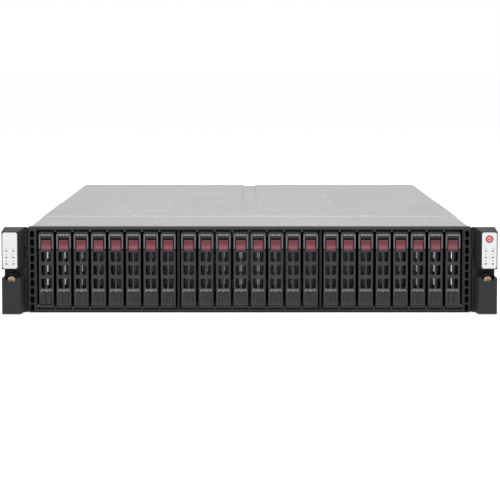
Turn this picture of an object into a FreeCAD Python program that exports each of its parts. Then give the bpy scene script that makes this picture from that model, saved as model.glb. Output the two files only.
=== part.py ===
import FreeCAD, Part
import math
import os
import re
import Sketcher

# A rack storage server, two units high, with hot-swap drive bays across its front.
# It stands on its base: X runs across the front, Y from the front to the rear, Z is up.
# Each piece is drawn from the face of the front frame, and front_y then centres the whole.

BAYS_PER_GROUP = 8
GROUP_COUNT = 3
BAY_COUNT = BAYS_PER_GROUP * GROUP_COUNT
SLOT_ROWS = 3
VENT_COUNT = 10
PANEL_SLOT_COUNT = 13
MIDPLANE_SLOTS = 4
FIN_COUNT = 9
MEMORY_COUNT = 4
BLADE_COUNT = 5
BLADE_PITCH = 35
FULL_TURN = 360

# Driving dimensions in millimetres.
SIZES = [
    ("sheet_thickness", 1.2, "sheet metal of tray and covers"),
    ("disk_height", 69.85, "width of a 2.5 inch disk, which stands on edge"),
    ("disk_thickness", 9.5, "thickness of the disk"),
    ("disk_length", 100.2, "length of the disk"),
    ("disk_fit", 0.3, "gap between disk and carrier rails"),
    ("disk_setback", 17, "carrier front to disk front"),
    ("rail_thickness", 2.4, "upper and lower rail of a carrier"),
    ("carrier_width", 14.2, "face width of a carrier"),
    ("carrier_length", 127, "carrier from face to rail ends"),
    ("carrier_proud", 2, "carrier face in front of the frame"),
    ("button_zone", 17.8, "height of the carrier block that holds the button"),
    ("block_depth", 12, "depth of the carrier block"),
    ("wall_thickness", 2.4, "carrier wall behind the lever"),
    ("window_width", 10.4, "air window in the carrier wall"),
    ("window_rim", 5, "carrier wall below the air window"),
    ("window_head", 1, "lever top to the air window's top"),
    ("lever_thickness", 4.5, "plate of the carrier lever"),
    ("lever_gap", 0.4, "gap between lever and carrier block"),
    ("hinge_radius", 3, "rounded foot of the lever"),
    ("hinge_gap", 0.3, "running gap around the lever foot"),
    ("hinge_pin", 0.9, "radius of the lever pin"),
    ("pin_fit", 0.05, "radial play of a turning part on its pin"),
    ("pin_seat", 0.01, "radial play of a pin in its seat"),
    ("cheek_width", 1.5, "hinge cheek of the carrier"),
    ("shoulder_rise", 1.2, "lever foot round to the full-width plate"),
    ("slot_width", 4.3, "slots in the lever"),
    ("slot_height", 10, "height of a slot"),
    ("slot_pitch", 13.15, "spacing of the slot rows"),
    ("slot_spread", 5.9, "spacing of the two slot columns"),
    ("slot_drop", 6.6, "lever top to the middle of the upper slots"),
    ("button_width", 9.7, "release button of a carrier"),
    ("button_height", 10.7, "height of that button"),
    ("button_depth", 9, "depth of that button"),
    ("button_proud", 0.4, "button face in front of the carrier"),
    ("button_lift", 0.3, "carrier block base to button base"),
    ("button_clearance", 0.3, "gap around that button"),
    ("bay_pitch", 17.1, "spacing of the drives"),
    ("group_gap", 2.8, "extra gap between groups of drives"),
    ("window_margin", 0.9, "drives to the edge of the frame window"),
    ("side_strip", 8, "vented side strip of the front frame"),
    ("frame_depth", 10, "depth of the front frame"),
    ("bottom_rail", 3.9, "lower rail of the front frame"),
    ("top_rail", 2.9, "upper rail of the front frame"),
    ("vent_width", 3.6, "vent holes of the side strips"),
    ("vent_height", 6.4, "height of a vent hole"),
    ("vent_pitch", 8.06, "spacing of the vent holes"),
    ("vent_low", 5.1, "base to the middle of the lowest vent hole"),
    ("vent_inset", 3.5, "frame side to the middle of the vent holes"),
    ("guide_thickness", 3.4, "floor of the bay guides"),
    ("guide_clearance", 0.3, "gap between carrier and guide"),
    ("guide_setback", 4, "frame face to the guides"),
    ("guide_length", 108, "length of the guides"),
    ("rib_setback", 22, "frame face to the guide ribs"),
    ("rib_width", 2.2, "guide rib between two carriers"),
    ("rib_height", 2.6, "height of a guide rib"),
    ("partition_thickness", 2, "wall between groups of drives"),
    ("body_inset", 1.9, "frame side to body side"),
    ("lip_width", 5.5, "ledge on the tray sides that carries the covers"),
    ("plate_overhang", 6.6, "front top plate behind the midplane"),
    ("mid_cover_length", 216, "middle top cover"),
    ("cover_gap", 0.5, "seam between the covers"),
    ("cover_flange", 12, "folded sides of the middle cover"),
    ("flange_clearance", 0.3, "those sides to the tray"),
    ("cover_bend", 1, "outer bend of the middle cover"),
    ("channel_width", 16, "sunk strip between the rear covers"),
    ("divider_thickness", 1.5, "centre wall between the modules"),
    ("divider_flange", 15, "half width of the flange on that wall"),
    ("bay_wall", 1.2, "wall between power supply and canister"),
    ("midplane_gap", 1, "carrier rail ends to the midplane"),
    ("midplane_thickness", 2.4, "midplane board"),
    ("midplane_margin", 1.5, "midplane edge to the tray sides"),
    ("midplane_slot_width", 9, "air slot of the midplane"),
    ("midplane_slot_height", 44, "height of an air slot"),
    ("socket_width", 5, "drive socket on the midplane"),
    ("socket_height", 34, "height of a drive socket"),
    ("socket_clearance", 0.3, "disk to socket"),
    ("socket_depth", 8, "least depth of a drive socket"),
    ("module_gap", 0.5, "gap beside and before the rear modules"),
    ("module_clearance", 0.3, "gap above and below the rear modules"),
    ("psu_width", 88, "power supply"),
    ("psu_length", 300, "length of a power supply"),
    ("inlet_width", 27.2, "mains inlet"),
    ("inlet_height", 19.8, "height of the inlet"),
    ("inlet_depth", 15, "depth of the inlet"),
    ("inlet_edge", 8, "power supply edges to the inlet"),
    ("psu_fan_radius", 24, "round air outlet of a power supply"),
    ("psu_fan_depth", 6, "depth of that outlet"),
    ("psu_fan_edge", 31, "power supply outer side to the outlet middle"),
    ("handle_reach", 22, "power supply handle behind the rear"),
    ("handle_bar", 6, "thickness of that handle"),
    ("handle_width", 9, "width of that handle"),
    ("handle_height", 42, "height of that handle"),
    ("handle_edge", 12, "power supply inner side to the handle"),
    ("handle_lift", 34, "power supply base to the handle"),
    ("canister_length", 576, "controller canister"),
    ("canister_wall", 1, "sheet metal of a canister"),
    ("panel_thickness", 1.2, "rear panel of a canister"),
    ("standoff_height", 5, "spacers under the boards"),
    ("standoff_radius", 3.5, "size of a spacer across its corners"),
    ("standoff_inset", 10, "board edge to a spacer"),
    ("board_thickness", 1.6, "canister and power boards"),
    ("board_margin", 2, "board edges to the sheet metal"),
    ("port_wall", 0.6, "sheet metal of a port cage"),
    ("network_width", 14.4, "network port"),
    ("network_height", 11.8, "height of a network port"),
    ("network_depth", 21, "depth of a network port"),
    ("fabric_width", 18.8, "wide data port"),
    ("fabric_height", 8.8, "height of a wide data port"),
    ("fabric_depth", 40, "depth of a wide data port"),
    ("port_step", 22.5, "spacing of the ports"),
    ("port_edge", 17, "canister inner side to the middle of the first port"),
    ("panel_slot_width", 4, "air slots of the rear panel"),
    ("panel_slot_height", 28, "height of an air slot"),
    ("panel_slot_pitch", 8, "spacing of the air slots"),
    ("panel_slot_drop", 26, "canister top to the air slots"),
    ("fan_size", 70, "square fan frame"),
    ("fan_depth", 38, "depth of a fan"),
    ("fan_bore", 33, "radius of the fan bore"),
    ("rotor_hub", 14, "radius of the rotor hub"),
    ("fan_strut", 9, "crossed struts that carry the spindle"),
    ("strut_depth", 4, "depth of the struts"),
    ("fan_setback", 6, "canister front to the fan"),
    ("blade_tip_gap", 1, "blade tips to the fan bore"),
    ("blade_thickness", 1.4, "fan blade"),
    ("blade_chord", 25, "chord of a blade"),
    ("rotor_gap", 0.6, "rotor to struts"),
    ("rotor_depth", 27, "length of the rotor hub"),
    ("spindle_radius", 2, "spindle that the rotor turns on"),
    ("spindle_length", 16, "length of the spindle"),
    ("board_setback", 52, "canister front to its board"),
    ("sink_width", 74, "heat sink"),
    ("sink_length", 86, "length of the heat sink"),
    ("sink_base", 5, "base of the heat sink"),
    ("sink_height", 34, "height of the heat sink with its fins"),
    ("fin_thickness", 1.2, "fins of the heat sink"),
    ("sink_setback", 40, "board front to the heat sink"),
    ("memory_length", 133, "memory module"),
    ("memory_height", 31, "height of a memory module"),
    ("memory_thickness", 4, "thickness of a memory module"),
    ("memory_pitch", 12, "spacing of the memory modules"),
    ("memory_setback", 150, "board front to the memory modules"),
    ("ejector_length", 66, "canister lever, hinge to tip"),
    ("ejector_height", 12, "height of the canister lever"),
    ("ejector_thickness", 5, "thickness of the canister lever"),
    ("ejector_tab", 13, "finger tab at the lever tip"),
    ("ejector_knuckle", 4, "radius of the lever knuckle"),
    ("ejector_boss", 1.5, "radius of the boss that the lever turns on"),
    ("ejector_axis", 4.5, "rear panel to the lever boss"),
    ("ejector_edge", 9, "canister outer side to the lever boss"),
    ("ejector_lift", 62, "canister base to the lower lever ear"),
    ("ejector_ear", 2, "ears above and below the lever"),
    ("dock_width", 50, "plug of a power board"),
    ("dock_height", 20, "height of that plug"),
    ("dock_depth", 13, "depth of that plug"),
    ("ear_width", 24.4, "rack ear beside the front frame"),
    ("ear_depth", 18, "rack ear in front of the frame"),
    ("ear_gap", 4, "front frame to the ear moulding's box"),
    ("ear_back", 4, "back plate of the ear moulding"),
    ("ear_drop", 0.95, "chassis top to the ear moulding"),
    ("flange_gap", 2.2, "front frame to the back plate of the ear moulding"),
    ("bracket_thickness", 2, "steel of the ear bracket"),
    ("bracket_leg", 60, "length of the bracket along the tray"),
    ("bracket_drop", 1.6, "chassis top to the ear bracket"),
    ("notch_base", 54, "base to the cable notch of that back plate"),
    ("notch_height", 10.6, "height of the cable notch"),
    ("housing_base", 44.7, "base to the upper ear housing"),
    ("housing_bevel", 2.55, "fall of the housing top towards its face"),
    ("plate_width", 14.4, "panel plate on the ear housing"),
    ("plate_border", 0.8, "housing edge round the panel plate"),
    ("plate_thickness", 0.8, "panel plate"),
    ("plate_corner", 1.2, "bevelled corners of the panel plate"),
    ("plate_clearance", 0.1, "panel plate in its recess"),
    ("grip_width", 18, "face of the lower ear grip"),
    ("grip_base", 0.9, "base to the foot of the grip"),
    ("grip_height", 36.4, "base to the top of the grip"),
    ("grip_wall", 3, "grip wall in front of the thumbscrew"),
    ("screw_reach", 15.6, "front frame side to the thumbscrew"),
    ("screw_height", 33.4, "base to the thumbscrew"),
    ("screw_well", 7.2, "radius of the thumbscrew well"),
    ("screw_head", 4, "radius of the thumbscrew head"),
    ("screw_collar", 6.2, "radius of its collar"),
    ("screw_collar_length", 4.4, "length of its collar"),
    ("screw_head_length", 14, "length of its head"),
    ("screw_waist", 2.2, "radius of its waist, which keeps it captive"),
    ("screw_thread", 2.5, "radius of its threaded end"),
    ("screw_end", 12, "threaded end behind the bracket"),
    ("screw_clearance", 0.3, "gap round collar and threaded end"),
    ("scoop_radius", 6.5, "scoop in the grip's upper edge"),
    ("scoop_rise", 5.2, "thumbscrew to the middle of the scoop"),
    ("power_radius", 3.4, "power button"),
    ("power_length", 5.5, "length of the power button"),
    ("power_clearance", 0.3, "gap round the power button"),
    ("power_bore", 9, "depth of its bore"),
    ("power_sink", 0.2, "button face under the plate face"),
    ("power_drop", 7.3, "top of the housing face to the power button"),
]

# Places and sizes that follow from the driving dimensions.
LAYOUT = [
    ("carrier_height", "disk_height + 2 * (rail_thickness + disk_fit)"),
    ("carrier_base", "sheet_thickness + guide_thickness + guide_clearance"),
    ("chassis_height", "carrier_height + 2 * carrier_base"),
    ("top_z", "chassis_height - sheet_thickness"),
    ("lip_z", "top_z - sheet_thickness"),
    ("group_span", f"{BAYS_PER_GROUP} * bay_pitch"),
    ("bay_span", f"{GROUP_COUNT} * group_span + {GROUP_COUNT - 1} * group_gap"),
    ("first_bay_x", "(bay_pitch - bay_span) / 2"),
    ("window_half", "bay_span / 2 + window_margin"),
    ("front_half", "window_half + side_strip"),
    ("body_half", "front_half - body_inset"),
    ("ear_half", "front_half + ear_width"),
    ("ear_inner", "front_half + ear_gap"),
    ("ear_flange", "front_half + flange_gap"),
    ("ear_top", "chassis_height - ear_drop"),
    ("ear_seat", "frame_depth - ear_back"),
    ("screw_x", "front_half + screw_reach"),
    ("disk_end", "disk_setback + disk_length - carrier_proud"),
    (
        "midplane_front",
        "max(carrier_length - carrier_proud + midplane_gap; disk_end + socket_clearance + socket_depth)",
    ),
    ("midplane_back", "midplane_front + midplane_thickness"),
    ("module_front", "midplane_back + module_gap"),
    ("chassis_depth", "module_front + canister_length"),
    ("front_y", "(ear_depth - chassis_depth - handle_reach) / 2"),
    ("front_plate_end", "midplane_back + plate_overhang"),
    ("mid_cover_front", "front_plate_end + cover_gap"),
    ("mid_cover_end", "mid_cover_front + mid_cover_length"),
    ("cover_inner", "body_half + flange_clearance"),
    ("cover_half", "cover_inner + sheet_thickness"),
    ("module_base", "sheet_thickness + module_clearance"),
    ("module_top", "lip_z - module_clearance"),
    ("psu_inner", "divider_thickness / 2 + module_gap"),
    ("psu_outer", "psu_inner + psu_width"),
    ("psu_front", "chassis_depth - psu_length"),
    ("bay_wall_x", "psu_outer + module_gap"),
    ("canister_inner", "bay_wall_x + bay_wall + module_gap"),
    ("canister_outer", "body_half - sheet_thickness - module_gap"),
    ("canister_middle", "(canister_inner + canister_outer) / 2"),
    ("canister_floor", "module_base + canister_wall"),
    ("panel_front", "chassis_depth - panel_thickness"),
    ("board_top", "canister_floor + standoff_height + board_thickness"),
    ("board_front", "module_front + board_setback"),
    ("fan_z", "canister_floor + fan_size / 2"),
    ("fan_front", "module_front + fan_setback"),
    ("strut_front", "fan_depth - strut_depth"),
    ("ejector_x", "canister_outer - ejector_edge"),
    ("ejector_y", "chassis_depth + ejector_axis"),
    ("ejector_base", "module_base + ejector_lift + ejector_ear + hinge_gap"),
    ("ejector_top", "ejector_base + ejector_height"),
    ("block_base", "carrier_height - button_zone"),
    ("button_base", "block_base + button_lift"),
    ("pivot_y", "hinge_radius"),
    ("pivot_z", "rail_thickness + hinge_gap + hinge_radius"),
    ("wall_front", "2 * hinge_radius + hinge_gap"),
    ("wall_back", "wall_front + wall_thickness"),
    ("lever_top", "block_base - lever_gap"),
    ("shoulder_z", "pivot_z + hinge_radius + shoulder_rise"),
    ("foot_half", "carrier_width / 2 - cheek_width - hinge_gap"),
    ("slot_low", f"lever_top - slot_drop - {SLOT_ROWS - 1} * slot_pitch - slot_height / 2"),
    ("housing_top", "ear_top - housing_bevel"),
    ("housing_face", "ear_half - plate_width - 2 * plate_border"),
    ("plate_x", "ear_half - plate_border - plate_width / 2"),
    ("power_z", "housing_top - power_drop"),
]

doc = FreeCAD.newDocument("storage_server")
home = {}
nodes = {}


def formula(text):
    """Write out a formula with the sheet that each of its names lives in."""
    return re.sub(r"[a-z]\w+", lambda word: home.get(word.group(), word.group()), text)


def fill_sheet(name, rows):
    """Make a sheet with one named cell in each row."""
    sheet = doc.addObject("Spreadsheet::Sheet", name)
    for row, (alias, content, note) in enumerate(rows, 1):
        sheet.set(f"A{row}", note)
        sheet.set(f"B{row}", content)
        sheet.setAlias(f"B{row}", alias)
    home.update({alias: f"{name}.{alias}" for alias, _, _ in rows})
    doc.recompute()
    return sheet


sizes = fill_sheet("sizes", [(alias, str(value), note) for alias, value, note in SIZES])
layout = fill_sheet("layout", [(alias, "=" + formula(text), alias) for alias, text in LAYOUT])


def number(text):
    """The present value of a formula."""
    return float(layout.evalExpression(formula(text)))


def bind(item, **properties):
    """Tie properties of an object to formulas."""
    for name, text in properties.items():
        item.setExpression(name, formula(text))


def place(item, x="0", y="0", z="0"):
    """Tie an object's place to formulas."""
    for axis, text in (("x", x), ("y", y), ("z", z)):
        item.setExpression(f"Placement.Base.{axis}", formula(text))
    return item


def box(name, x, y, z):
    """A block between two formulas on each axis."""
    block = doc.addObject("Part::Box", name)
    bind(
        block,
        Length=f"({x[1]}) - ({x[0]})",
        Width=f"({y[1]}) - ({y[0]})",
        Height=f"({z[1]}) - ({z[0]})",
    )
    return place(block, x[0], y[0], z[0])


def standoff(name, x, y, z):
    """A six-sided spacer under a board."""
    spacer = doc.addObject("Part::Prism", name)
    bind(spacer, Circumradius="standoff_radius", Height="standoff_height")
    return place(spacer, x, y, z)


def compound(name, *links):
    """Several solids kept together."""
    group = doc.addObject("Part::Compound", name)
    group.Links = list(links)
    return group


def fuse(name, *shapes):
    """Several shapes joined into one solid."""
    union = doc.addObject("Part::MultiFuse", name)
    union.Shapes = list(shapes)
    union.Refine = True
    return union


def mirror(name, source):
    """The same piece on the other side of the server."""
    image = doc.addObject("Part::Mirroring", name)
    image.Source = source
    image.Normal = FreeCAD.Vector(1, 0, 0)
    return image


def node(label, item):
    """Keep an object as a piece of the server, under its own name."""
    item.Label = label
    nodes[label] = item
    return item


def loop(*points):
    """A closed outline through (x, y) points, drawn anticlockwise.

    A third entry bends the edge that leaves the point to an arc of that radius.
    """

    def draw(sketch):
        spots = [FreeCAD.Vector(number(point[0]), number(point[1]), 0) for point in points]
        base = sketch.GeometryCount
        edges = []
        for index, spot in enumerate(spots):
            follower = spots[(index + 1) % len(spots)]
            if len(points[index]) == 2:
                edges.append(Part.LineSegment(spot, follower))
            else:
                edges.append(arc_between(spot, follower, number(points[index][2])))
        sketch.addGeometry(edges, False)
        for index, point in enumerate(points):
            edge = base + index
            follower = base + (index + 1) % len(points)
            sketch.addConstraint(Sketcher.Constraint("Coincident", edge, 2, follower, 1))
            hold(sketch, "DistanceX", -1, 1, edge, 1, point[0])
            hold(sketch, "DistanceY", -1, 1, edge, 1, point[1])
            if len(point) == 3:
                hold(sketch, "Radius", edge, point[2])

    return draw


def arc_between(start, end, radius):
    """The anticlockwise arc from one point to another."""
    chord = end - start
    left = FreeCAD.Vector(-chord.y, chord.x, 0).normalize()
    middle = (start + end) * 0.5 + left * math.sqrt(max(radius**2 - chord.Length**2 / 4, 0))
    angles = [math.atan2(spot.y - middle.y, spot.x - middle.x) for spot in (start, end)]
    return Part.ArcOfCircle(Part.Circle(middle, FreeCAD.Vector(0, 0, 1), radius), *angles)


def rectangle(x, y):
    """A rectangle between two formulas on each axis."""
    return loop((x[0], y[0]), (x[1], y[0]), (x[1], y[1]), (x[0], y[1]))


def ring(x, y, radius):
    """A circle round a point."""

    def draw(sketch):
        middle = FreeCAD.Vector(number(x), number(y), 0)
        circle = Part.Circle(middle, FreeCAD.Vector(0, 0, 1), number(radius))
        edge = sketch.addGeometry(circle, False)
        hold(sketch, "DistanceX", -1, 1, edge, 3, x)
        hold(sketch, "DistanceY", -1, 1, edge, 3, y)
        hold(sketch, "Radius", edge, radius)

    return draw


def hold(sketch, kind, *terms):
    """Add a dimension to a sketch and tie it to a formula."""
    entry = Sketcher.Constraint(kind, *terms[:-1], number(terms[-1]))
    index = sketch.addConstraint(entry)
    sketch.setExpression(f"Constraints[{index}]", formula(terms[-1]))


class Piece:
    """A body that is built up from padded, cut, turned and lofted outlines.

    An outline lies in the plane XY, XZ or YZ, and its depth runs from start to end along the third axis.
    """

    def __init__(self, name):
        self.name = name
        self.body = doc.addObject("PartDesign::Body", name)
        self.origin = {item.Role: item for item in self.body.Origin.OriginFeatures}
        self.count = 0

    def sketch(self, plane, start, outlines):
        """Draw outlines on a plane that lies at the start formula along its third axis."""
        self.count += 1
        drawing = self.body.newObject("Sketcher::SketchObject", f"{self.name}_sketch_{self.count}")
        drawing.AttachmentSupport = [(self.origin[f"{plane}_Plane"], "")]
        drawing.MapMode = "FlatFace"
        offset = f"-({start})" if plane == "XZ" else start
        drawing.setExpression("AttachmentOffset.Base.z", formula(offset))
        for outline in outlines:
            outline(drawing)
        return drawing

    def feature(self, kind, **values):
        """Add a feature, tie its formulas and make it the body's last."""
        item = self.body.newObject(f"PartDesign::{kind}", f"{self.name}_{kind.lower()}_{self.count}")
        for name, value in values.items():
            setattr(item, name, value)
        self.body.Tip = item
        return item

    def add(self, plane, start, end, *outlines):
        """Pad outlines from start to end."""
        drawing = self.sketch(plane, start, outlines)
        bind(self.feature("Pad", Profile=drawing, Reversed=plane == "XZ"), Length=f"({end}) - ({start})")
        return self

    def cut(self, plane, start, end, *outlines):
        """Cut outlines away from start to end."""
        drawing = self.sketch(plane, start, outlines)
        pocket = self.feature("Pocket", Profile=drawing, Reversed=plane != "XZ")
        bind(pocket, Length=f"({end}) - ({start})")
        doc.recompute()
        if pocket.Shape.Volume >= pocket.BaseFeature.Shape.Volume:
            raise ValueError(f"{pocket.Name} cuts nothing")
        return self

    def repeat(self, axis, pitch, count):
        """Repeat the last feature along an axis."""
        last = self.body.Tip
        pattern = self.feature("LinearPattern", Originals=[last], Occurrences=count)
        pattern.Direction = (self.origin[f"{axis}_Axis"], [""])
        bind(pattern, Length=f"{count - 1} * ({pitch})")
        self.body.Tip = pattern
        return self

    def flip(self):
        """Repeat the last feature on the other side of the middle plane."""
        last = self.body.Tip
        image = self.feature("Mirrored", Originals=[last])
        image.MirrorPlane = (self.origin["YZ_Plane"], [""])
        self.body.Tip = image
        return self

    def turn(self, *outlines):
        """Revolve outlines, drawn as (radius, depth), about the Y axis."""
        drawing = self.sketch("XY", "0", outlines)
        turned = self.feature("Revolution", Profile=drawing, Angle=FULL_TURN)
        turned.ReferenceAxis = (self.origin["Y_Axis"], [""])
        return self

    def loft(self, start, end, base, face):
        """Loft from a base outline at start to a face outline at end, both seen from the front."""
        drawings = [self.sketch("XZ", start, [base]), self.sketch("XZ", end, [face])]
        self.feature("AdditiveLoft", Profile=drawings[0], Sections=drawings[1:], Ruled=True)
        return self

    def soften(self, kind, size, chosen):
        """Round or bevel the edges that the chosen test picks."""
        doc.recompute()
        base = self.body.Tip
        picked = [f"Edge{index}" for index, edge in enumerate(base.Shape.Edges, 1) if chosen(edge)]
        item = self.feature(kind, Base=(base, picked))
        bind(item, **{"Radius" if kind == "Fillet" else "Size": size})
        return self

    def done(self, x="0", y="front_y", z="0"):
        """Set the finished body in its place."""
        return place(self.body, x, y, z)


def runs_along(axis):
    """A test for straight edges along one axis, by its index."""

    def test(edge):
        ends = [vertex.Point for vertex in edge.Vertexes]
        if len(ends) < 2:
            return False
        span = ends[1] - ends[0]
        return abs(abs(span[axis]) - span.Length) < 1e-6

    return test


def lies_at(axis, text):
    """A test for edges that lie whole in a plane across one axis, by its index."""
    level = number(text)
    return lambda edge: all(abs(vertex.Point[axis] - level) < 1e-6 for vertex in edge.Vertexes)


def carrier(name, hinged):
    """Drive carrier: C-shaped side profile with button block, air window and cheeks for a moving lever."""
    piece = Piece(name)
    piece.add(
        "YZ",
        "-carrier_width / 2",
        "carrier_width / 2",
        loop(
            ("0", "0"),
            ("carrier_length", "0"),
            ("carrier_length", "rail_thickness"),
            ("wall_back", "rail_thickness"),
            ("wall_back", "block_base"),
            ("block_depth", "block_base"),
            ("block_depth", "carrier_height - rail_thickness"),
            ("carrier_length", "carrier_height - rail_thickness"),
            ("carrier_length", "carrier_height"),
            ("0", "carrier_height"),
            ("0", "block_base"),
            ("wall_front", "block_base"),
            ("wall_front", "rail_thickness"),
            ("0", "rail_thickness"),
        ),
    )
    reach = "button_width / 2 + button_clearance"
    piece.cut(
        "XZ",
        "0",
        "block_depth",
        rectangle(
            (f"-({reach})", reach),
            ("button_base - button_clearance", "button_base + button_height + button_clearance"),
        ),
    )
    piece.cut(
        "XZ",
        "wall_front",
        "wall_back",
        rectangle(
            ("-window_width / 2", "window_width / 2"),
            ("shoulder_z + window_rim", "lever_top - window_head"),
        ),
    )
    if hinged:
        piece.add(
            "YZ",
            "carrier_width / 2 - cheek_width",
            "carrier_width / 2",
            loop(
                ("pivot_y", "rail_thickness"),
                ("wall_front", "rail_thickness"),
                ("wall_front", "pivot_z + hinge_radius"),
                ("pivot_y", "pivot_z + hinge_radius"),
                ("0", "pivot_z"),
            ),
        ).flip()
        piece.cut(
            "YZ",
            "-carrier_width / 2",
            "carrier_width / 2",
            ring("pivot_y", "pivot_z", "hinge_pin + pin_seat"),
        )
    return piece.done(y="0")


def lever(name, moving):
    """Carrier lever: slotted plate, which stands on a round bored foot where the lever moves."""
    piece = Piece(name)
    piece.add(
        "YZ",
        "-carrier_width / 2",
        "carrier_width / 2",
        rectangle(
            ("0", "lever_thickness"),
            ("shoulder_z" if moving else "rail_thickness + hinge_gap", "lever_top"),
        ),
    )
    inner = "(slot_spread - slot_width) / 2"
    outer = "(slot_spread + slot_width) / 2"
    rows = ("slot_low", "slot_low + slot_height")
    piece.cut(
        "XZ",
        "0",
        "lever_thickness",
        rectangle((f"-{outer}", f"-{inner}"), rows),
        rectangle((inner, outer), rows),
    ).repeat("Z", "slot_pitch", SLOT_ROWS)
    if moving:
        foot = ("-foot_half", "foot_half")
        piece.add(
            "YZ",
            *foot,
            loop(
                ("0", "pivot_z", "hinge_radius"),
                ("pivot_y", "pivot_z - hinge_radius", "hinge_radius"),
                ("2 * hinge_radius", "pivot_z"),
                ("lever_thickness", "shoulder_z"),
                ("0", "shoulder_z"),
            ),
        )
        piece.cut("YZ", *foot, ring("pivot_y", "pivot_z", "hinge_pin + pin_fit"))
    return piece.done(y="0")


def release_button():
    """Release button of a carrier."""
    return box(
        "release_button",
        ("-button_width / 2", "button_width / 2"),
        ("-button_proud", "button_depth - button_proud"),
        ("button_base", "button_base + button_height"),
    )


def disk():
    """The disk, which stands on edge between the rails."""
    return box(
        "disk",
        ("-disk_thickness / 2", "disk_thickness / 2"),
        ("disk_setback", "disk_setback + disk_length"),
        ("rail_thickness + disk_fit", "carrier_height - rail_thickness - disk_fit"),
    )


def hinge_pin():
    """The pin that a carrier lever turns on."""
    pin = doc.addObject("Part::Cylinder", "hinge_pin_rod")
    pin.Placement.Rotation = FreeCAD.Rotation(FreeCAD.Vector(0, 1, 0), 90)
    bind(pin, Radius="hinge_pin", Height="carrier_width")
    return place(pin, "-carrier_width / 2", "pivot_y", "pivot_z")


def bay_x(bay):
    """Formula for the middle of a bay, counted from the left."""
    return f"first_bay_x + {bay} * bay_pitch + {bay // BAYS_PER_GROUP} * group_gap"


def in_bay(name, bay, *solids):
    """Solids of a drive, set in their bay."""
    return place(compound(name, *solids), bay_x(bay), "front_y - carrier_proud", "carrier_base")


def drives():
    """All drives. The first one has its lever and button as pieces that move by themselves."""
    button = release_button()
    platter = disk()
    pinned = [carrier("carrier_bored", True), platter, hinge_pin()]
    node("drive_01", in_bay("drive_01", 0, *pinned))
    node("drive_01_lever", in_bay("drive_01_lever", 0, lever("lever_bored", True)))
    node("drive_01_button", in_bay("drive_01_button", 0, button))
    whole = [carrier("carrier_plain", False), platter, lever("lever_plain", False), button]
    for bay in range(1, BAY_COUNT):
        name = f"drive_{bay + 1:02d}"
        node(name, in_bay(name, bay, *whole))


def front_frame():
    """Frame round the drive bays, with a column of vent holes in each side strip."""
    piece = Piece("front_frame")
    piece.add(
        "XZ",
        "0",
        "frame_depth",
        rectangle(("-front_half", "front_half"), ("0", "chassis_height")),
    )
    piece.cut(
        "XZ",
        "0",
        "frame_depth",
        rectangle(("-window_half", "window_half"), ("bottom_rail", "chassis_height - top_rail")),
    )
    for middle in ("front_half - vent_inset", "vent_inset - front_half"):
        piece.cut(
            "XZ",
            "0",
            "frame_depth",
            rectangle(
                (f"{middle} - vent_width / 2", f"{middle} + vent_width / 2"),
                ("vent_low - vent_height / 2", "vent_low + vent_height / 2"),
            ),
        ).repeat("Z", "vent_pitch", VENT_COUNT)
    return piece.done()


def bay_guides():
    """Ribbed guides above and below each group of drives."""
    guide_end = "guide_setback + guide_length"
    floor_top = "sheet_thickness + guide_thickness"
    floor = box(
        "guide_floor",
        ("-group_span / 2", "group_span / 2"),
        ("frame_depth", guide_end),
        ("sheet_thickness", floor_top),
    )
    ribs = []
    for gap in range(1, BAYS_PER_GROUP):
        middle = f"{gap} * bay_pitch - group_span / 2"
        rib = box(
            f"guide_rib_{gap}",
            (f"{middle} - rib_width / 2", f"{middle} + rib_width / 2"),
            ("rib_setback", guide_end),
            (floor_top, f"{floor_top} + rib_height"),
        )
        ribs.append(rib)
    lower = compound("guide", floor, *ribs)
    upper = doc.addObject("Part::Mirroring", "upper_guide")
    upper.Source = lower
    upper.Normal = FreeCAD.Vector(0, 0, 1)
    place(upper, z="chassis_height")
    parts = []
    for group in range(GROUP_COUNT):
        shift = group - (GROUP_COUNT - 1) / 2
        for source in (lower, upper):
            copy = compound(f"{source.Name}_{group}", source)
            parts.append(place(copy, f"{shift} * (group_span + group_gap)", "front_y"))
    return compound("bay_guides", *parts)


def bay_partitions():
    """Walls in the gaps between the groups of drives, stepped to pass between the frame's rails."""
    piece = Piece("partition")
    back = "guide_setback + guide_length"
    ceiling = "chassis_height - top_rail"
    piece.add(
        "YZ",
        "-partition_thickness / 2",
        "partition_thickness / 2",
        loop(
            ("guide_setback", "bottom_rail"),
            ("frame_depth", "bottom_rail"),
            ("frame_depth", "sheet_thickness"),
            (back, "sheet_thickness"),
            (back, "top_z"),
            ("frame_depth", "top_z"),
            ("frame_depth", ceiling),
            ("guide_setback", ceiling),
        ),
    )
    wall = piece.done()
    walls = []
    for gap in range(1, GROUP_COUNT):
        copy = compound(f"partition_{gap}", wall)
        walls.append(place(copy, f"{gap - GROUP_COUNT / 2} * (group_span + group_gap)"))
    return compound("bay_partitions", *walls)


def chassis_tray():
    """Folded tray with a floor and two sides."""
    piece = Piece("chassis_tray")
    piece.add(
        "XZ",
        "frame_depth",
        "chassis_depth",
        loop(
            ("-body_half", "0"),
            ("body_half", "0"),
            ("body_half", "lip_z"),
            ("body_half - sheet_thickness", "lip_z"),
            ("body_half - sheet_thickness", "sheet_thickness"),
            ("sheet_thickness - body_half", "sheet_thickness"),
            ("sheet_thickness - body_half", "lip_z"),
            ("-body_half", "lip_z"),
        ),
    )
    return piece.done()


def cover_ledges():
    """Ledges on the tray sides, which carry the covers."""
    right = box(
        "right_ledge",
        ("body_half - lip_width", "body_half"),
        ("front_y + frame_depth", "front_y + chassis_depth"),
        ("lip_z", "top_z"),
    )
    return compound("cover_ledges", mirror("left_ledge", right), right)


def front_top_plate():
    """Flat plate over the drive bays."""
    return box(
        "front_top_plate",
        ("-body_half", "body_half"),
        ("front_y + frame_depth", "front_y + front_plate_end"),
        ("top_z", "chassis_height"),
    )


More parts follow.
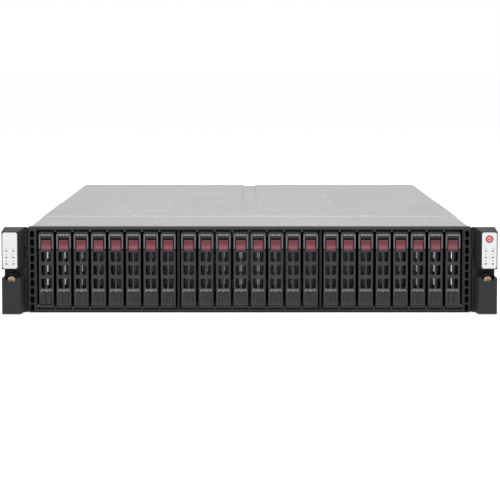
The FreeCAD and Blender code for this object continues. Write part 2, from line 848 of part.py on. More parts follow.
def mid_top_cover():
    """Lift-off cover with bent edges, and sides that reach down outside the tray."""
    piece = Piece("mid_cover_plate")
    piece.add(
        "XZ",
        "mid_cover_front",
        "mid_cover_end",
        rectangle(("-cover_half", "cover_half"), ("top_z", "chassis_height")),
    )
    along = runs_along(1)
    top = lies_at(2, "chassis_height")
    piece.soften("Fillet", "cover_bend", lambda edge: along(edge) and top(edge))
    side = box(
        "right_cover_side",
        ("cover_inner", "cover_half"),
        ("front_y + mid_cover_front", "front_y + mid_cover_end"),
        ("chassis_height - cover_flange", "top_z"),
    )
    return compound("mid_top_cover", mirror("left_cover_side", side), piece.done(), side)


def rear_covers():
    """Two plates over the rear modules, with a sunk strip between them."""
    right = box(
        "right_rear_plate",
        ("channel_width / 2", "body_half"),
        ("front_y + mid_cover_end + cover_gap", "front_y + chassis_depth"),
        ("top_z", "chassis_height"),
    )
    return compound("rear_covers", mirror("left_rear_plate", right), right)


def rear_dividers():
    """Centre wall with a wide flange, and the walls between power supplies and canisters."""
    piece = Piece("centre_wall")
    piece.add(
        "XZ",
        "midplane_back",
        "chassis_depth",
        loop(
            ("-divider_thickness / 2", "sheet_thickness"),
            ("divider_thickness / 2", "sheet_thickness"),
            ("divider_thickness / 2", "lip_z"),
            ("divider_flange", "lip_z"),
            ("divider_flange", "top_z"),
            ("-divider_flange", "top_z"),
            ("-divider_flange", "lip_z"),
            ("-divider_thickness / 2", "lip_z"),
        ),
    )
    side = box(
        "right_bay_wall",
        ("bay_wall_x", "bay_wall_x + bay_wall"),
        ("front_y + midplane_back", "front_y + chassis_depth"),
        ("sheet_thickness", "top_z"),
    )
    return compound("rear_dividers", mirror("left_bay_wall", side), piece.done(), side)


def midplane_board():
    """Board between the drives and the rear modules, with air slots between the sockets."""
    piece = Piece("midplane_board")
    half = "body_half - sheet_thickness - midplane_margin"
    piece.add(
        "XZ",
        "midplane_front",
        "midplane_back",
        rectangle((f"-({half})", half), ("sheet_thickness", "lip_z - midplane_margin")),
    )
    middle = "chassis_height / 2"
    for group in range(GROUP_COUNT):
        first = f"{bay_x(group * BAYS_PER_GROUP)} + bay_pitch / 2"
        piece.cut(
            "XZ",
            "midplane_front",
            "midplane_back",
            rectangle(
                (f"{first} - midplane_slot_width / 2", f"{first} + midplane_slot_width / 2"),
                (f"{middle} - midplane_slot_height / 2", f"{middle} + midplane_slot_height / 2"),
            ),
        ).repeat("X", f"{BAYS_PER_GROUP // MIDPLANE_SLOTS} * bay_pitch", MIDPLANE_SLOTS)
    return piece.done()


def drive_sockets():
    """One socket on the midplane for each drive."""
    socket = box(
        "socket",
        ("-socket_width / 2", "socket_width / 2"),
        ("disk_end + socket_clearance", "midplane_front"),
        ("(chassis_height - socket_height) / 2", "(chassis_height + socket_height) / 2"),
    )
    copies = [compound(f"socket_{bay + 1:02d}", socket) for bay in range(BAY_COUNT)]
    for bay, copy in enumerate(copies):
        place(copy, bay_x(bay), "front_y")
    return compound("drive_sockets", *copies)


def spacers(name, x, y, z):
    """Spacers near the four corners of a board that spans the given formulas."""
    corners = [(side, end) for side in (0, 1) for end in (0, 1)]
    inset = {0: "+ standoff_inset", 1: "- standoff_inset"}
    return [
        standoff(f"{name}_{side}{end}", f"{x[side]} {inset[side]}", f"{y[end]} {inset[end]}", z)
        for side, end in corners
    ]


def power_boards():
    """Boards that carry the output of the power supplies to the midplane."""
    x = ("psu_inner + board_margin", "psu_outer - board_margin")
    y = ("midplane_back", "psu_front - module_clearance")
    base = "sheet_thickness + standoff_height"
    top = f"{base} + board_thickness"
    middle = "(psu_inner + psu_outer) / 2"
    plug_x = (f"{middle} - dock_width / 2", f"{middle} + dock_width / 2")
    plug_z = (top, f"{top} + dock_height")
    right = fuse(
        "right_power_board",
        box("power_board", x, y, (base, top)),
        box("midplane_plug", plug_x, (y[0], f"{y[0]} + dock_depth"), plug_z),
        box("supply_plug", plug_x, (f"{y[1]} - dock_depth", y[1]), plug_z),
        *spacers("power_spacer", x, y, "sheet_thickness"),
    )
    place(right, y="front_y")
    return compound("power_boards", mirror("left_power_board", right), right)


def power_supply():
    """Power supply with a mains inlet, a round air outlet and a loop handle at its rear."""
    piece = Piece("right_supply")
    piece.add(
        "XZ",
        "psu_front",
        "chassis_depth",
        rectangle(("psu_inner", "psu_outer"), ("module_base", "module_top")),
    )
    piece.cut(
        "XZ",
        "chassis_depth - inlet_depth",
        "chassis_depth",
        rectangle(
            ("psu_inner + inlet_edge", "psu_inner + inlet_edge + inlet_width"),
            ("module_base + inlet_edge", "module_base + inlet_edge + inlet_height"),
        ),
    )
    piece.cut(
        "XZ",
        "chassis_depth - psu_fan_depth",
        "chassis_depth",
        ring("psu_outer - psu_fan_edge", "(module_base + module_top) / 2", "psu_fan_radius"),
    )
    handle_base = "module_base + handle_lift"
    handle_top = f"{handle_base} + handle_height"
    handle_end = "chassis_depth + handle_reach"
    piece.add(
        "YZ",
        "psu_inner + handle_edge",
        "psu_inner + handle_edge + handle_width",
        loop(
            ("chassis_depth", handle_base),
            (handle_end, handle_base),
            (handle_end, handle_top),
            ("chassis_depth", handle_top),
            ("chassis_depth", f"{handle_top} - handle_bar"),
            (f"{handle_end} - handle_bar", f"{handle_top} - handle_bar"),
            (f"{handle_end} - handle_bar", f"{handle_base} + handle_bar"),
            ("chassis_depth", f"{handle_base} + handle_bar"),
        ),
    )
    return piece.done()


def ports():
    """Name, middle, width, height and depth of each port in a canister's rear panel."""
    kinds = ["network", "network", "network", "fabric", "fabric"]
    return [
        (f"port_{index}", f"canister_inner + port_edge + {index} * port_step", kind)
        for index, kind in enumerate(kinds)
    ]


def canister_tray():
    """Open sheet-metal tray of a canister."""
    piece = Piece("right_canister_tray")
    piece.add(
        "XZ",
        "module_front",
        "panel_front",
        loop(
            ("canister_inner", "module_base"),
            ("canister_outer", "module_base"),
            ("canister_outer", "module_top"),
            ("canister_outer - canister_wall", "module_top"),
            ("canister_outer - canister_wall", "canister_floor"),
            ("canister_inner + canister_wall", "canister_floor"),
            ("canister_inner + canister_wall", "module_top"),
            ("canister_inner", "module_top"),
        ),
    )
    return piece.done()


def canister_panel():
    """Rear panel of a canister, with port openings, air slots and the ears and boss of its lever."""
    piece = Piece("right_canister_panel")
    piece.add(
        "XZ",
        "panel_front",
        "chassis_depth",
        rectangle(("canister_inner", "canister_outer"), ("module_base", "module_top")),
    )
    openings = [
        rectangle(
            (f"{middle} - {kind}_width / 2", f"{middle} + {kind}_width / 2"),
            ("board_top + port_wall", f"board_top + port_wall + {kind}_height"),
        )
        for _, middle, kind in ports()
    ]
    piece.cut("XZ", "panel_front", "chassis_depth", *openings)
    first = f"canister_middle - {(PANEL_SLOT_COUNT - 1) / 2} * panel_slot_pitch"
    slot_top = "module_top - panel_slot_drop"
    piece.cut(
        "XZ",
        "panel_front",
        "chassis_depth",
        rectangle(
            (f"{first} - panel_slot_width / 2", f"{first} + panel_slot_width / 2"),
            (f"{slot_top} - panel_slot_height", slot_top),
        ),
    ).repeat("X", "panel_slot_pitch", PANEL_SLOT_COUNT)
    ear = rectangle(
        ("ejector_x - ejector_knuckle", "ejector_x + ejector_knuckle"),
        ("chassis_depth", "ejector_y + ejector_knuckle"),
    )
    low = "ejector_base - hinge_gap"
    high = "ejector_top + hinge_gap"
    piece.add("XY", f"{low} - ejector_ear", low, ear)
    piece.add("XY", high, f"{high} + ejector_ear", ear)
    piece.add("XY", low, high, ring("ejector_x", "ejector_y", "ejector_boss"))
    return piece.done()


def canister_lever():
    """Lever across the top of the rear panel, with a finger tab at its tip."""
    piece = Piece("right_canister_lever")
    half = "ejector_thickness / 2"
    span = ("ejector_base", "ejector_top")
    tip = "ejector_x - ejector_length"
    piece.add(
        "XY",
        *span,
        loop(
            (tip, f"ejector_y - {half}"),
            ("ejector_x", f"ejector_y - {half}"),
            ("ejector_x", f"ejector_y + {half}"),
            (f"{tip} + ejector_thickness", f"ejector_y + {half}"),
            (f"{tip} + ejector_thickness", "ejector_y + ejector_tab"),
            (tip, "ejector_y + ejector_tab"),
        ),
    )
    piece.add("XY", *span, ring("ejector_x", "ejector_y", "ejector_knuckle"))
    piece.cut("XY", *span, ring("ejector_x", "ejector_y", "ejector_boss + pin_fit"))
    return piece.done()


def port_cage(name, middle, kind):
    """Sheet-metal cage of a port, open to the rear."""
    depth = f"panel_front - {kind}_depth"
    outer = box(
        f"{name}_shell",
        (f"{middle} - {kind}_width / 2 - port_wall", f"{middle} + {kind}_width / 2 + port_wall"),
        (depth, "panel_front"),
        ("board_top", f"board_top + {kind}_height + 2 * port_wall"),
    )
    inner = box(
        f"{name}_space",
        (f"{middle} - {kind}_width / 2", f"{middle} + {kind}_width / 2"),
        (f"{depth} + port_wall", "panel_front"),
        ("board_top + port_wall", f"board_top + port_wall + {kind}_height"),
    )
    cage = doc.addObject("Part::Cut", f"{name}_cage")
    cage.Base = outer
    cage.Tool = inner
    return cage


def heat_sink():
    """Finned heat sink on the canister board."""
    piece = Piece("heat_sink")
    y = ("board_front + sink_setback", "board_front + sink_setback + sink_length")
    left = "canister_middle - sink_width / 2"
    piece.add("XY", "board_top", "board_top + sink_base", rectangle((left, f"{left} + sink_width"), y))
    piece.add(
        "XY",
        "board_top + sink_base",
        "board_top + sink_height",
        rectangle((left, f"{left} + fin_thickness"), y),
    ).repeat("X", f"(sink_width - fin_thickness) / {FIN_COUNT - 1}", FIN_COUNT)
    return piece.done(y="0")


def canister_board():
    """Board of a canister with its heat sink, memory modules and port cages."""
    x = ("canister_inner + canister_wall + board_margin", "canister_outer - canister_wall - board_margin")
    y = ("board_front", "panel_front")
    base = "canister_floor + standoff_height"
    board = fuse(
        "canister_plate",
        box("canister_sheet", x, y, (base, "board_top")),
        *spacers("canister_spacer", x, y, "canister_floor"),
    )
    solids = [board, heat_sink()]
    for index in range(MEMORY_COUNT):
        middle = f"canister_middle + {index - (MEMORY_COUNT - 1) / 2} * memory_pitch"
        module = box(
            f"memory_{index}",
            (f"{middle} - memory_thickness / 2", f"{middle} + memory_thickness / 2"),
            ("board_front + memory_setback", "board_front + memory_setback + memory_length"),
            ("board_top", "board_top + memory_height"),
        )
        solids.append(module)
    solids += [port_cage(*port) for port in ports()]
    return place(compound("right_canister_board", *solids), y="front_y")


def fan_frame():
    """Square fan frame with crossed struts at its rear, which carry the rotor's spindle."""
    piece = Piece("fan_frame")
    half = "fan_size / 2"
    square = rectangle((f"-{half}", half), (f"-{half}", half))
    piece.add("XZ", "0", "fan_depth", square)
    piece.cut("XZ", "0", "fan_depth", ring("0", "0", "fan_bore"))
    strut = "fan_strut / 2"
    reach = f"({half} + fan_bore) / 2"
    span = ("strut_front", "fan_depth")
    piece.add("XZ", *span, rectangle((f"-{strut}", strut), (f"-{reach}", reach)))
    piece.add("XZ", *span, rectangle((f"-{reach}", reach), (f"-{strut}", strut)))
    piece.add("XZ", "strut_front - spindle_length", "strut_front", ring("0", "0", "spindle_radius"))
    return piece.done(y="0")


def fan_rotor():
    """Fan rotor: turned hub with a bore for the spindle, and pitched blades round it."""
    piece = Piece("rotor_core")
    back = "strut_front - rotor_gap"
    front = f"{back} - rotor_depth"
    bore_end = "strut_front - spindle_length - rotor_gap"
    bore = "spindle_radius + pin_fit"
    piece.turn(
        loop(
            ("0", front),
            ("rotor_hub", front),
            ("rotor_hub", back),
            (bore, back),
            (bore, bore_end),
            ("0", bore_end),
        )
    )
    core = piece.done(y="0")
    pitch = FreeCAD.Rotation(FreeCAD.Vector(0, 0, 1), BLADE_PITCH)
    blades = []
    for index in range(BLADE_COUNT):
        blade = box(
            f"blade_{index}",
            ("-blade_thickness / 2", "blade_thickness / 2"),
            ("-blade_chord / 2", "blade_chord / 2"),
            ("(rotor_hub + spindle_radius) / 2", "fan_bore - blade_tip_gap"),
        )
        spot = FreeCAD.Rotation(FreeCAD.Vector(0, 1, 0), index * FULL_TURN / BLADE_COUNT)
        holder = compound(f"blade_holder_{index}", blade)
        holder.Placement.Rotation = spot.multiply(pitch)
        place(holder, y=f"{back} - rotor_depth / 2")
        blades.append(holder)
    return fuse("rotor", core, *blades)


def fans():
    """A fan at the front of each canister, made of a frame and a rotor."""
    frame = fan_frame()
    rotor = fan_rotor()
    for side, sign in (("left", "-"), ("right", "")):
        for kind, solid in (("frame", frame), ("rotor", rotor)):
            name = f"{side}_fan_{kind}"
            seated = compound(name, solid)
            node(name, place(seated, f"{sign}canister_middle", "front_y + fan_front", "fan_z"))


def ear_housing(name, with_button):
    """Moulded ear on the right: tapered panel housing above, grip below, thumbscrew well between."""
    piece = Piece(name)
    face = "-ear_depth"
    piece.add(
        "XZ",
        "ear_seat",
        "frame_depth",
        rectangle(("ear_flange", "ear_half"), ("0", "ear_top")),
    )
    piece.cut(
        "XZ",
        "ear_seat",
        "frame_depth",
        rectangle(("ear_flange", "ear_inner"), ("notch_base", "notch_base + notch_height")),
    )
    piece.loft(
        "ear_seat",
        face,
        rectangle(("ear_inner", "ear_half"), ("housing_base", "ear_top")),
        rectangle(("housing_face", "ear_half"), ("housing_base", "housing_top")),
    )
    piece.loft(
        "ear_seat",
        face,
        rectangle(("ear_inner", "ear_half"), ("grip_base", "grip_height")),
        rectangle(("ear_half - grip_width", "ear_half"), ("grip_base", "grip_height")),
    )
    inside = f"{face} + grip_wall"
    piece.cut("XZ", inside, "ear_seat", ring("screw_x", "screw_height", "screw_well"))
    piece.cut("XZ", face, inside, ring("screw_x", "screw_height + scoop_rise", "scoop_radius"))
    piece.cut("XZ", "ear_seat", "frame_depth", ring("screw_x", "screw_height", "screw_waist + pin_fit"))
    border = "plate_border - plate_clearance"
    piece.cut(
        "XZ",
        face,
        f"{face} + plate_thickness",
        rectangle(
            (f"housing_face + {border}", f"ear_half - ({border})"),
            (f"housing_base + {border}", f"housing_top - ({border})"),
        ),
    )
    if with_button:
        piece.cut(
            "XZ",
            face,
            f"{face} + power_bore",
            ring("plate_x", "power_z", "power_radius + power_clearance"),
        )
    return piece.done()


def panel_plate(name, with_button):
    """Pale panel plate on the right ear, with bevelled corners."""
    piece = Piece(name)
    span = ("-ear_depth", "plate_thickness - ear_depth")
    piece.add(
        "XZ",
        *span,
        rectangle(
            ("housing_face + plate_border", "ear_half - plate_border"),
            ("housing_base + plate_border", "housing_top - plate_border"),
        ),
    )
    piece.soften("Chamfer", "plate_corner", runs_along(1))
    if with_button:
        piece.cut("XZ", *span, ring("plate_x", "power_z", "power_radius + power_clearance"))
    return piece.done()


def power_button():
    """Round power button in the right panel plate."""
    piece = Piece("power_button")
    face = "power_sink - ear_depth"
    piece.add("XZ", face, f"{face} + power_length", ring("plate_x", "power_z", "power_radius"))
    return piece.done()


def ear_bracket():
    """Folded steel bracket of the right ear, with thumbscrew hole."""
    piece = Piece("right_bracket")
    back = "frame_depth + bracket_thickness"
    side = "body_half + bracket_thickness"
    piece.add(
        "XY",
        "0",
        "chassis_height - bracket_drop",
        loop(
            ("body_half", "frame_depth"),
            ("ear_half", "frame_depth"),
            ("ear_half", back),
            (side, back),
            (side, "frame_depth + bracket_leg"),
            ("body_half", "frame_depth + bracket_leg"),
        ),
    )
    piece.cut("XZ", "frame_depth", back, ring("screw_x", "screw_height", "screw_thread + screw_clearance"))
    return piece.done()


def thumbscrew():
    """Captive thumbscrew of the right ear: head, collar, waist and threaded end."""
    piece = Piece("right_thumbscrew")
    collar_back = "ear_seat - screw_clearance"
    collar_front = f"{collar_back} - screw_collar_length"
    head_front = f"{collar_front} - screw_head_length"
    thread_start = "frame_depth + bracket_thickness + screw_clearance"
    thread_end = "frame_depth + bracket_thickness + screw_end"
    piece.turn(
        loop(
            ("0", head_front),
            ("screw_head", head_front),
            ("screw_head", collar_front),
            ("screw_collar", collar_front),
            ("screw_collar", collar_back),
            ("screw_waist", collar_back),
            ("screw_waist", thread_start),
            ("screw_thread", thread_start),
            ("screw_thread", thread_end),
            ("0", thread_end),
        )
    )
    return piece.done("screw_x", "front_y", "screw_height")


def ears():
    """Both rack ears. Only the right one holds the power button."""
    bracket = ear_bracket()
    node("ear_brackets", compound("ear_brackets", mirror("left_bracket", bracket), bracket))
    node("left_ear_housing", mirror("left_ear_housing", ear_housing("plain_housing", False)))
    node("right_ear_housing", ear_housing("button_housing", True))
    plates = [mirror("left_plate", panel_plate("plain_plate", False)), panel_plate("button_plate", True)]
    node("panel_plates", compound("panel_plates", *plates))
    screw = node("right_thumbscrew", thumbscrew())
    node("left_thumbscrew", mirror("left_thumbscrew", screw))
    node("power_button", power_button())


def rear_modules():
    """Power supplies and canisters, each on both sides."""
    makers = [
        ("power_supply", power_supply),
        ("canister_tray", canister_tray),
        ("canister_panel", canister_panel),
        ("canister_board", canister_board),
        ("canister_lever", canister_lever),
    ]
    for name, maker in makers:
        right = node(f"right_{name}", maker())
        node(f"left_{name}", mirror(f"left_{name}", right))


def check_and_write():
    """Stop at any failed object or bad shape, then write every piece."""
    doc.recompute()
    for item in doc.Objects:
        if {"Invalid", "Error"} & set(item.State):
            raise ValueError(f"{item.Name} failed: {item.State}")
    for label, item in nodes.items():
        if item.Shape.isNull() or not item.Shape.isValid():
            raise ValueError(f"{label} has a bad shape")
    os.makedirs("parts", exist_ok=True)
    for label, item in nodes.items():
        item.Shape.exportStep(f"parts/{label}.step")


node("chassis_tray", chassis_tray())
node("cover_ledges", cover_ledges())
node("front_frame", front_frame())
node("bay_guides", bay_guides())
node("bay_partitions", bay_partitions())
node("front_top_plate", front_top_plate())
node("mid_top_cover", mid_top_cover())
node("rear_covers", rear_covers())
node("rear_dividers", rear_dividers())
node("midplane_board", midplane_board())
node("drive_sockets", drive_sockets())
node("power_boards", power_boards())
rear_modules()
fans()
ears()
drives()
check_and_write()
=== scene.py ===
"""Looks of a two-unit storage server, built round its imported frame.

Lengths are in millimetres in the classes and in metres in the scene. X runs across the front, Y to the
rear and Z up. Every piece is left at the origin, with its place in its mesh.
"""

import logging
import math
from collections.abc import Callable, Iterator, Sequence
from contextlib import contextmanager
from dataclasses import dataclass
from enum import Enum, IntEnum

import bmesh
import bpy
from mathutils import Matrix, Vector


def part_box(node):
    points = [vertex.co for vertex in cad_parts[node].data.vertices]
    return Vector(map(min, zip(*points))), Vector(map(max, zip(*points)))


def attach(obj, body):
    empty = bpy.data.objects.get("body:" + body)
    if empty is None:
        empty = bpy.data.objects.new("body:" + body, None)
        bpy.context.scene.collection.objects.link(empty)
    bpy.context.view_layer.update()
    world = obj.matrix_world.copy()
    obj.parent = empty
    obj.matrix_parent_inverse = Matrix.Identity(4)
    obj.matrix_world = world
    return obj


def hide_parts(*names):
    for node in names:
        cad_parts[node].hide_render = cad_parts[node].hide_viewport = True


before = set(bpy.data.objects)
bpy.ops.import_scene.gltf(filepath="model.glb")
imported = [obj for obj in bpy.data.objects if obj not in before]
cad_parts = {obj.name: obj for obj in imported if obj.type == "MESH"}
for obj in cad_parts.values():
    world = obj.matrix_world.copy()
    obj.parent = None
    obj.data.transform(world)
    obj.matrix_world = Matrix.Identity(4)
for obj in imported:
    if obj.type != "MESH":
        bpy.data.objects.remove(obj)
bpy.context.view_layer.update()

LOG = logging.getLogger("storage_server")
MM = 0.001
MERGE_GAP = 0.002 * MM
NEAR = 0.05  # places closer than this are the same
PAST = 1.0  # how far a cutter reaches beyond what it cuts
LAP = 0.1  # how far small fittings stand off the faces they sit on, or reach into them
CLEAR = 0.05  # gap round what sits in an opening
FACING = 0.5  # least share of a normal that counts as facing a way
NOISE_SPAN = (0.3, 0.7)  # nearly all of a noise lies between these
ROUGH_SPREAD = 0.12  # share by which the grain varies the roughness
FLAT_ANGLE = math.radians(0.5)
SMOOTH_ANGLE = math.radians(32)
SIDES = ("left", "right")

Piece = bpy.types.Object
Socket = bpy.types.NodeSocket
Tree = bpy.types.NodeTree
Edge = bmesh.types.BMEdge
Pair = tuple[float, float]
Triple = tuple[float, float, float]
Row = tuple[float, ...]


class Axis(Enum):
    """The three axes, by their place in a vector."""

    X = 0
    Y = 1
    Z = 2


class Element(Enum):
    """What an edit picks."""

    EDGE = "EDGE"
    FACE = "FACE"


class Skin(IntEnum):
    """Finishes of the faces of a carrier or a lever, by their place among its materials, of which the second is a
    painted highlight.
    """

    TEXTURED = 0
    PAINTED_HIGHLIGHT = 1
    SMOOTH = 2


class Slot(Enum):
    """Material slots of the record."""

    BARE_STEEL = "bare_steel"
    BLACK_METAL = "black_metal"
    SUPPLY_CASE = "supply_case"
    SCREW_STEEL = "screw_steel"
    BLACK_PLASTIC = "black_plastic"
    DRIVE_BODY = "drive_body"
    RELEASE_RED = "release_red"
    PALE_PANEL = "pale_panel"
    POWER_RED = "power_red"
    CIRCUIT_BOARD = "circuit_board"


def only(piece: Piece) -> None:
    """Select one piece alone and make it active."""
    bpy.ops.object.select_all(action="DESELECT")
    piece.select_set(True)
    bpy.context.view_layer.objects.active = piece


@contextmanager
def editing(piece: Piece) -> Iterator[None]:
    """Edit one piece, with all of it picked at first.

    Args:
        piece: The mesh object to edit.
    """
    only(piece)
    bpy.ops.object.mode_set(mode="EDIT")
    bpy.ops.mesh.select_all(action="SELECT")
    yield
    bpy.ops.object.mode_set(mode="OBJECT")


def pick(piece: Piece, kind: Element, test: Callable[..., bool]) -> int:
    """Pick faces or edges of the piece under edit, by their place or normal.

    Args:
        piece: The piece that is being edited.
        kind: Whether faces or edges are picked.
        test: Says of a face or edge whether it is wanted.

    Returns:
        How many were picked.
    """
    bpy.ops.mesh.select_mode(type=kind.value)
    bpy.ops.mesh.select_all(action="DESELECT")
    mesh = bmesh.from_edit_mesh(piece.data)
    found = [item for item in (mesh.edges if kind is Element.EDGE else mesh.faces) if test(item)]
    for item in found:
        item.select_set(True)
    bmesh.update_edit_mesh(piece.data)
    return len(found)


def along(edge: Edge, axis: Axis) -> bool:
    """Whether an edge runs along an axis."""
    span = edge.verts[1].co - edge.verts[0].co
    return abs(abs(span[axis.value]) - span.length) < MERGE_GAP


def middle(edge: Edge) -> Vector:
    """The middle of an edge, in millimetres."""
    return (edge.verts[0].co + edge.verts[1].co) / (2 * MM)


def crosses(spot: Vector) -> Callable[[Edge], bool]:
    """A test for edges that run along X past a place, in millimetres."""
    return lambda edge: along(edge, Axis.X) and (middle(edge).yz - spot.yz).length < NEAR


def settled(name: str) -> Piece:
    """Name the shape that was just added, select it alone and move its place into its mesh.

    Args:
        name: Name of the piece.

    Returns:
        The new piece.
    """
    piece = bpy.context.object
    piece.name = name
    only(piece)
    bpy.ops.object.transform_apply(location=True, rotation=True, scale=True)
    return piece


def block(name: str, start: Sequence[float], end: Sequence[float]) -> Piece:
    """Add a block between two opposite corners, to be shaped further.

    Args:
        name: Name of the piece.
        start: One corner in millimetres.
        end: The other corner.

    Returns:
        The new piece.
    """
    bpy.ops.mesh.primitive_cube_add(size=1, location=[(a + b) / 2 * MM for a, b in zip(start, end)])
    bpy.context.object.scale = [abs(b - a) * MM for a, b in zip(start, end)]
    return settled(name)


def rod(name: str, axis: Axis, centre: Sequence[float], radius: float, length: float, sides: int = 32) -> Piece:
    """Add a rod round a centre point, along an axis, to be shaped further.

    Args:
        name: Name of the piece.
        axis: Which way the rod runs.
        centre: Its middle in millimetres.
        radius: Radius in millimetres.
        length: Length in millimetres.
        sides: How many sides its round has.

    Returns:
        The new piece.
    """
    turns = {Axis.X: (0, math.pi / 2, 0), Axis.Y: (math.pi / 2, 0, 0), Axis.Z: (0, 0, 0)}
    size = {"vertices": sides, "radius": radius * MM, "depth": length * MM}
    bpy.ops.mesh.primitive_cylinder_add(location=[value * MM for value in centre], rotation=turns[axis], **size)
    return settled(name)


def wire_ring(name: str, centre: Sequence[float], radius: float, wire: float) -> Piece:
    """Add a ring of wire that faces along Y.

    Args:
        name: Name of the piece.
        centre: Its middle in millimetres.
        radius: Radius of the ring in millimetres.
        wire: Radius of the wire in millimetres.

    Returns:
        The new piece.
    """
    size = {"major_segments": 48, "minor_segments": 8, "major_radius": radius * MM, "minor_radius": wire * MM}
    spot = [value * MM for value in centre]
    bpy.ops.mesh.primitive_torus_add(location=spot, rotation=(math.pi / 2, 0, 0), **size)
    return settled(name)


def apply_modifier(piece: Piece, kind: str, **settings: object) -> None:
    """Add a modifier with its settings and apply it.

    Args:
        piece: The piece to change.
        kind: Blender's name of the modifier.
        settings: Its settings.
    """
    only(piece)
    modifier = piece.modifiers.new(kind.lower(), kind)
    for name, value in settings.items():
        setattr(modifier, name, value)
    bpy.ops.object.modifier_apply(modifier=modifier.name)


def carve(piece: Piece, *cutters: Piece, operation: str = "DIFFERENCE") -> Piece:
    """Cut pieces out of a piece and take the cutters away.

    Args:
        piece: What is cut.
        cutters: What is cut out of it.
        operation: Blender's name of another way to put them together.

    Returns:
        The same piece.
    """
    for cutter in cutters:
        apply_modifier(piece, "BOOLEAN", object=cutter, operation=operation, solver="EXACT")
        bpy.data.objects.remove(cutter)
    return piece


def fill(piece: Piece, *parts: Piece) -> Piece:
    """Make parts one with a piece and take the parts away."""
    return carve(piece, *parts, operation="UNION")


def soften(piece: Piece, width: float, segments: int = 2) -> Piece:
    """Round the sharp edges of a finished shape and shade it smooth.

    Args:
        piece: The shape.
        width: Width of the rounding in millimetres.
        segments: How many faces go round an edge.

    Returns:
        The same piece.
    """
    only(piece)
    bpy.ops.object.shade_smooth_by_angle(angle=SMOOTH_ANGLE)
    rounding = {"width": width * MM, "segments": segments, "harden_normals": True}
    apply_modifier(piece, "BEVEL", limit_method="ANGLE", angle_limit=SMOOTH_ANGLE, **rounding)
    return piece


def turned(axis: Axis, centre: Sequence[float], size: Triple, sides: int = 24, segments: int = 2) -> Piece:
    """Add a rod with rounded ends, of which the size gives the radius, the length and the rounding."""
    radius, length, rounding = size
    return soften(rod("turned", axis, centre, radius, length, sides), rounding, segments)


def bevel_edges(piece: Piece, width: float, segments: int, test: Callable[[Edge], bool]) -> Piece:
    """Bevel only the edges that a test picks.

    Args:
        piece: The shape.
        width: Width of the bevel in millimetres.
        segments: How many faces go round an edge.
        test: Says of an edge whether it is wanted.

    Returns:
        The same piece.
    """
    with editing(piece):
        if pick(piece, Element.EDGE, test):
            bpy.ops.mesh.bevel(offset=width * MM, segments=segments, affect="EDGES", clamp_overlap=True)
    return piece


def join(name: str, pieces: Sequence[Piece]) -> Piece:
    """Join several shapes into one piece.

    Args:
        name: Name of the piece.
        pieces: The shapes, of which the first one is kept.

    Returns:
        The joined piece.
    """
    only(pieces[0])
    for piece in pieces:
        piece.select_set(True)
    bpy.ops.object.join()
    pieces[0].name = name
    return pieces[0]


def copy_to(piece: Piece, name: str, shift: Sequence[float]) -> Piece:
    """Copy a piece with its own mesh and move the copy's mesh.

    Args:
        piece: The pattern.
        name: Name of the copy.
        shift: How far the copy moves, in millimetres.

    Returns:
        The copy.
    """
    twin = piece.copy()
    twin.data = piece.data.copy()
    twin.name = name
    bpy.context.scene.collection.objects.link(twin)
    twin.data.transform(Matrix.Translation(Vector(shift) * MM))
    return twin


def scatter(name: str, pattern: Piece, shifts: Sequence[Triple]) -> Piece:
    """Set copies of a small pattern piece in several places, join them and take the pattern away.

    Args:
        name: Name of the joined piece.
        pattern: What is repeated.
        shifts: Where the copies go, in millimetres from the pattern's place.

    Returns:
        The joined piece.
    """
    copies = [copy_to(pattern, f"{name}_{index}", shift) for index, shift in enumerate(shifts)]
    bpy.data.objects.remove(pattern)
    return join(name, copies)


def twin_on_left(piece: Piece) -> Piece:
    """Copy a piece of the right side to the left side.

    Args:
        piece: The piece on the right.

    Returns:
        The mirrored copy, with its faces pointing outwards.
    """
    twin = copy_to(piece, "left_twin", (0, 0, 0))
    twin.data.transform(Matrix.Scale(-1, 4, (1, 0, 0)))
    twin.data.flip_normals()
    return twin


def cad_copy(node: str, name: str) -> Piece:
    """Copy a node's mesh, merged and with flat faces made whole, as the start of a new piece.

    Args:
        node: Name of the node.
        name: Name of the new piece.

    Returns:
        The new piece.
    """
    piece = bpy.data.objects.new(name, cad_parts[node].data.copy())
    bpy.context.scene.collection.objects.link(piece)
    piece.data.materials.clear()
    with editing(piece):
        bpy.ops.mesh.customdata_custom_splitnormals_clear()
        bpy.ops.mesh.remove_doubles(threshold=MERGE_GAP)
        bpy.ops.mesh.dissolve_limited(angle_limit=FLAT_ANGLE)
    return piece


def loose_parts(piece: Piece) -> list[Piece]:
    """Take a piece apart into its loose shapes, the one with the longest diagonal first."""
    with editing(piece):
        bpy.ops.mesh.separate(type="LOOSE")
    return sorted(bpy.context.selected_objects, key=lambda part: -part.dimensions.length)


def corner(node: str) -> tuple[Vector, Vector]:
    """Lowest and highest corner of a node, in millimetres."""
    low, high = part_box(node)
    return low / MM, high / MM


FRONT = corner("front_frame")[0].y
REAR = corner("chassis_tray")[1].y
TOP = corner("front_frame")[1].z


def linear(code: str) -> tuple[float, float, float, float]:
    """Turn an sRGB hex colour into linear light.

    Args:
        code: Six hex digits after a hash sign.

    Returns:
        Red, green, blue and an alpha of one.
    """
    parts = [int(code[start : start + 2], 16) / 255 for start in (1, 3, 5)]
    red, green, blue = (part / 12.92 if part <= 0.04045 else ((part + 0.055) / 1.055) ** 2.4 for part in parts)
    return red, green, blue, 1.0


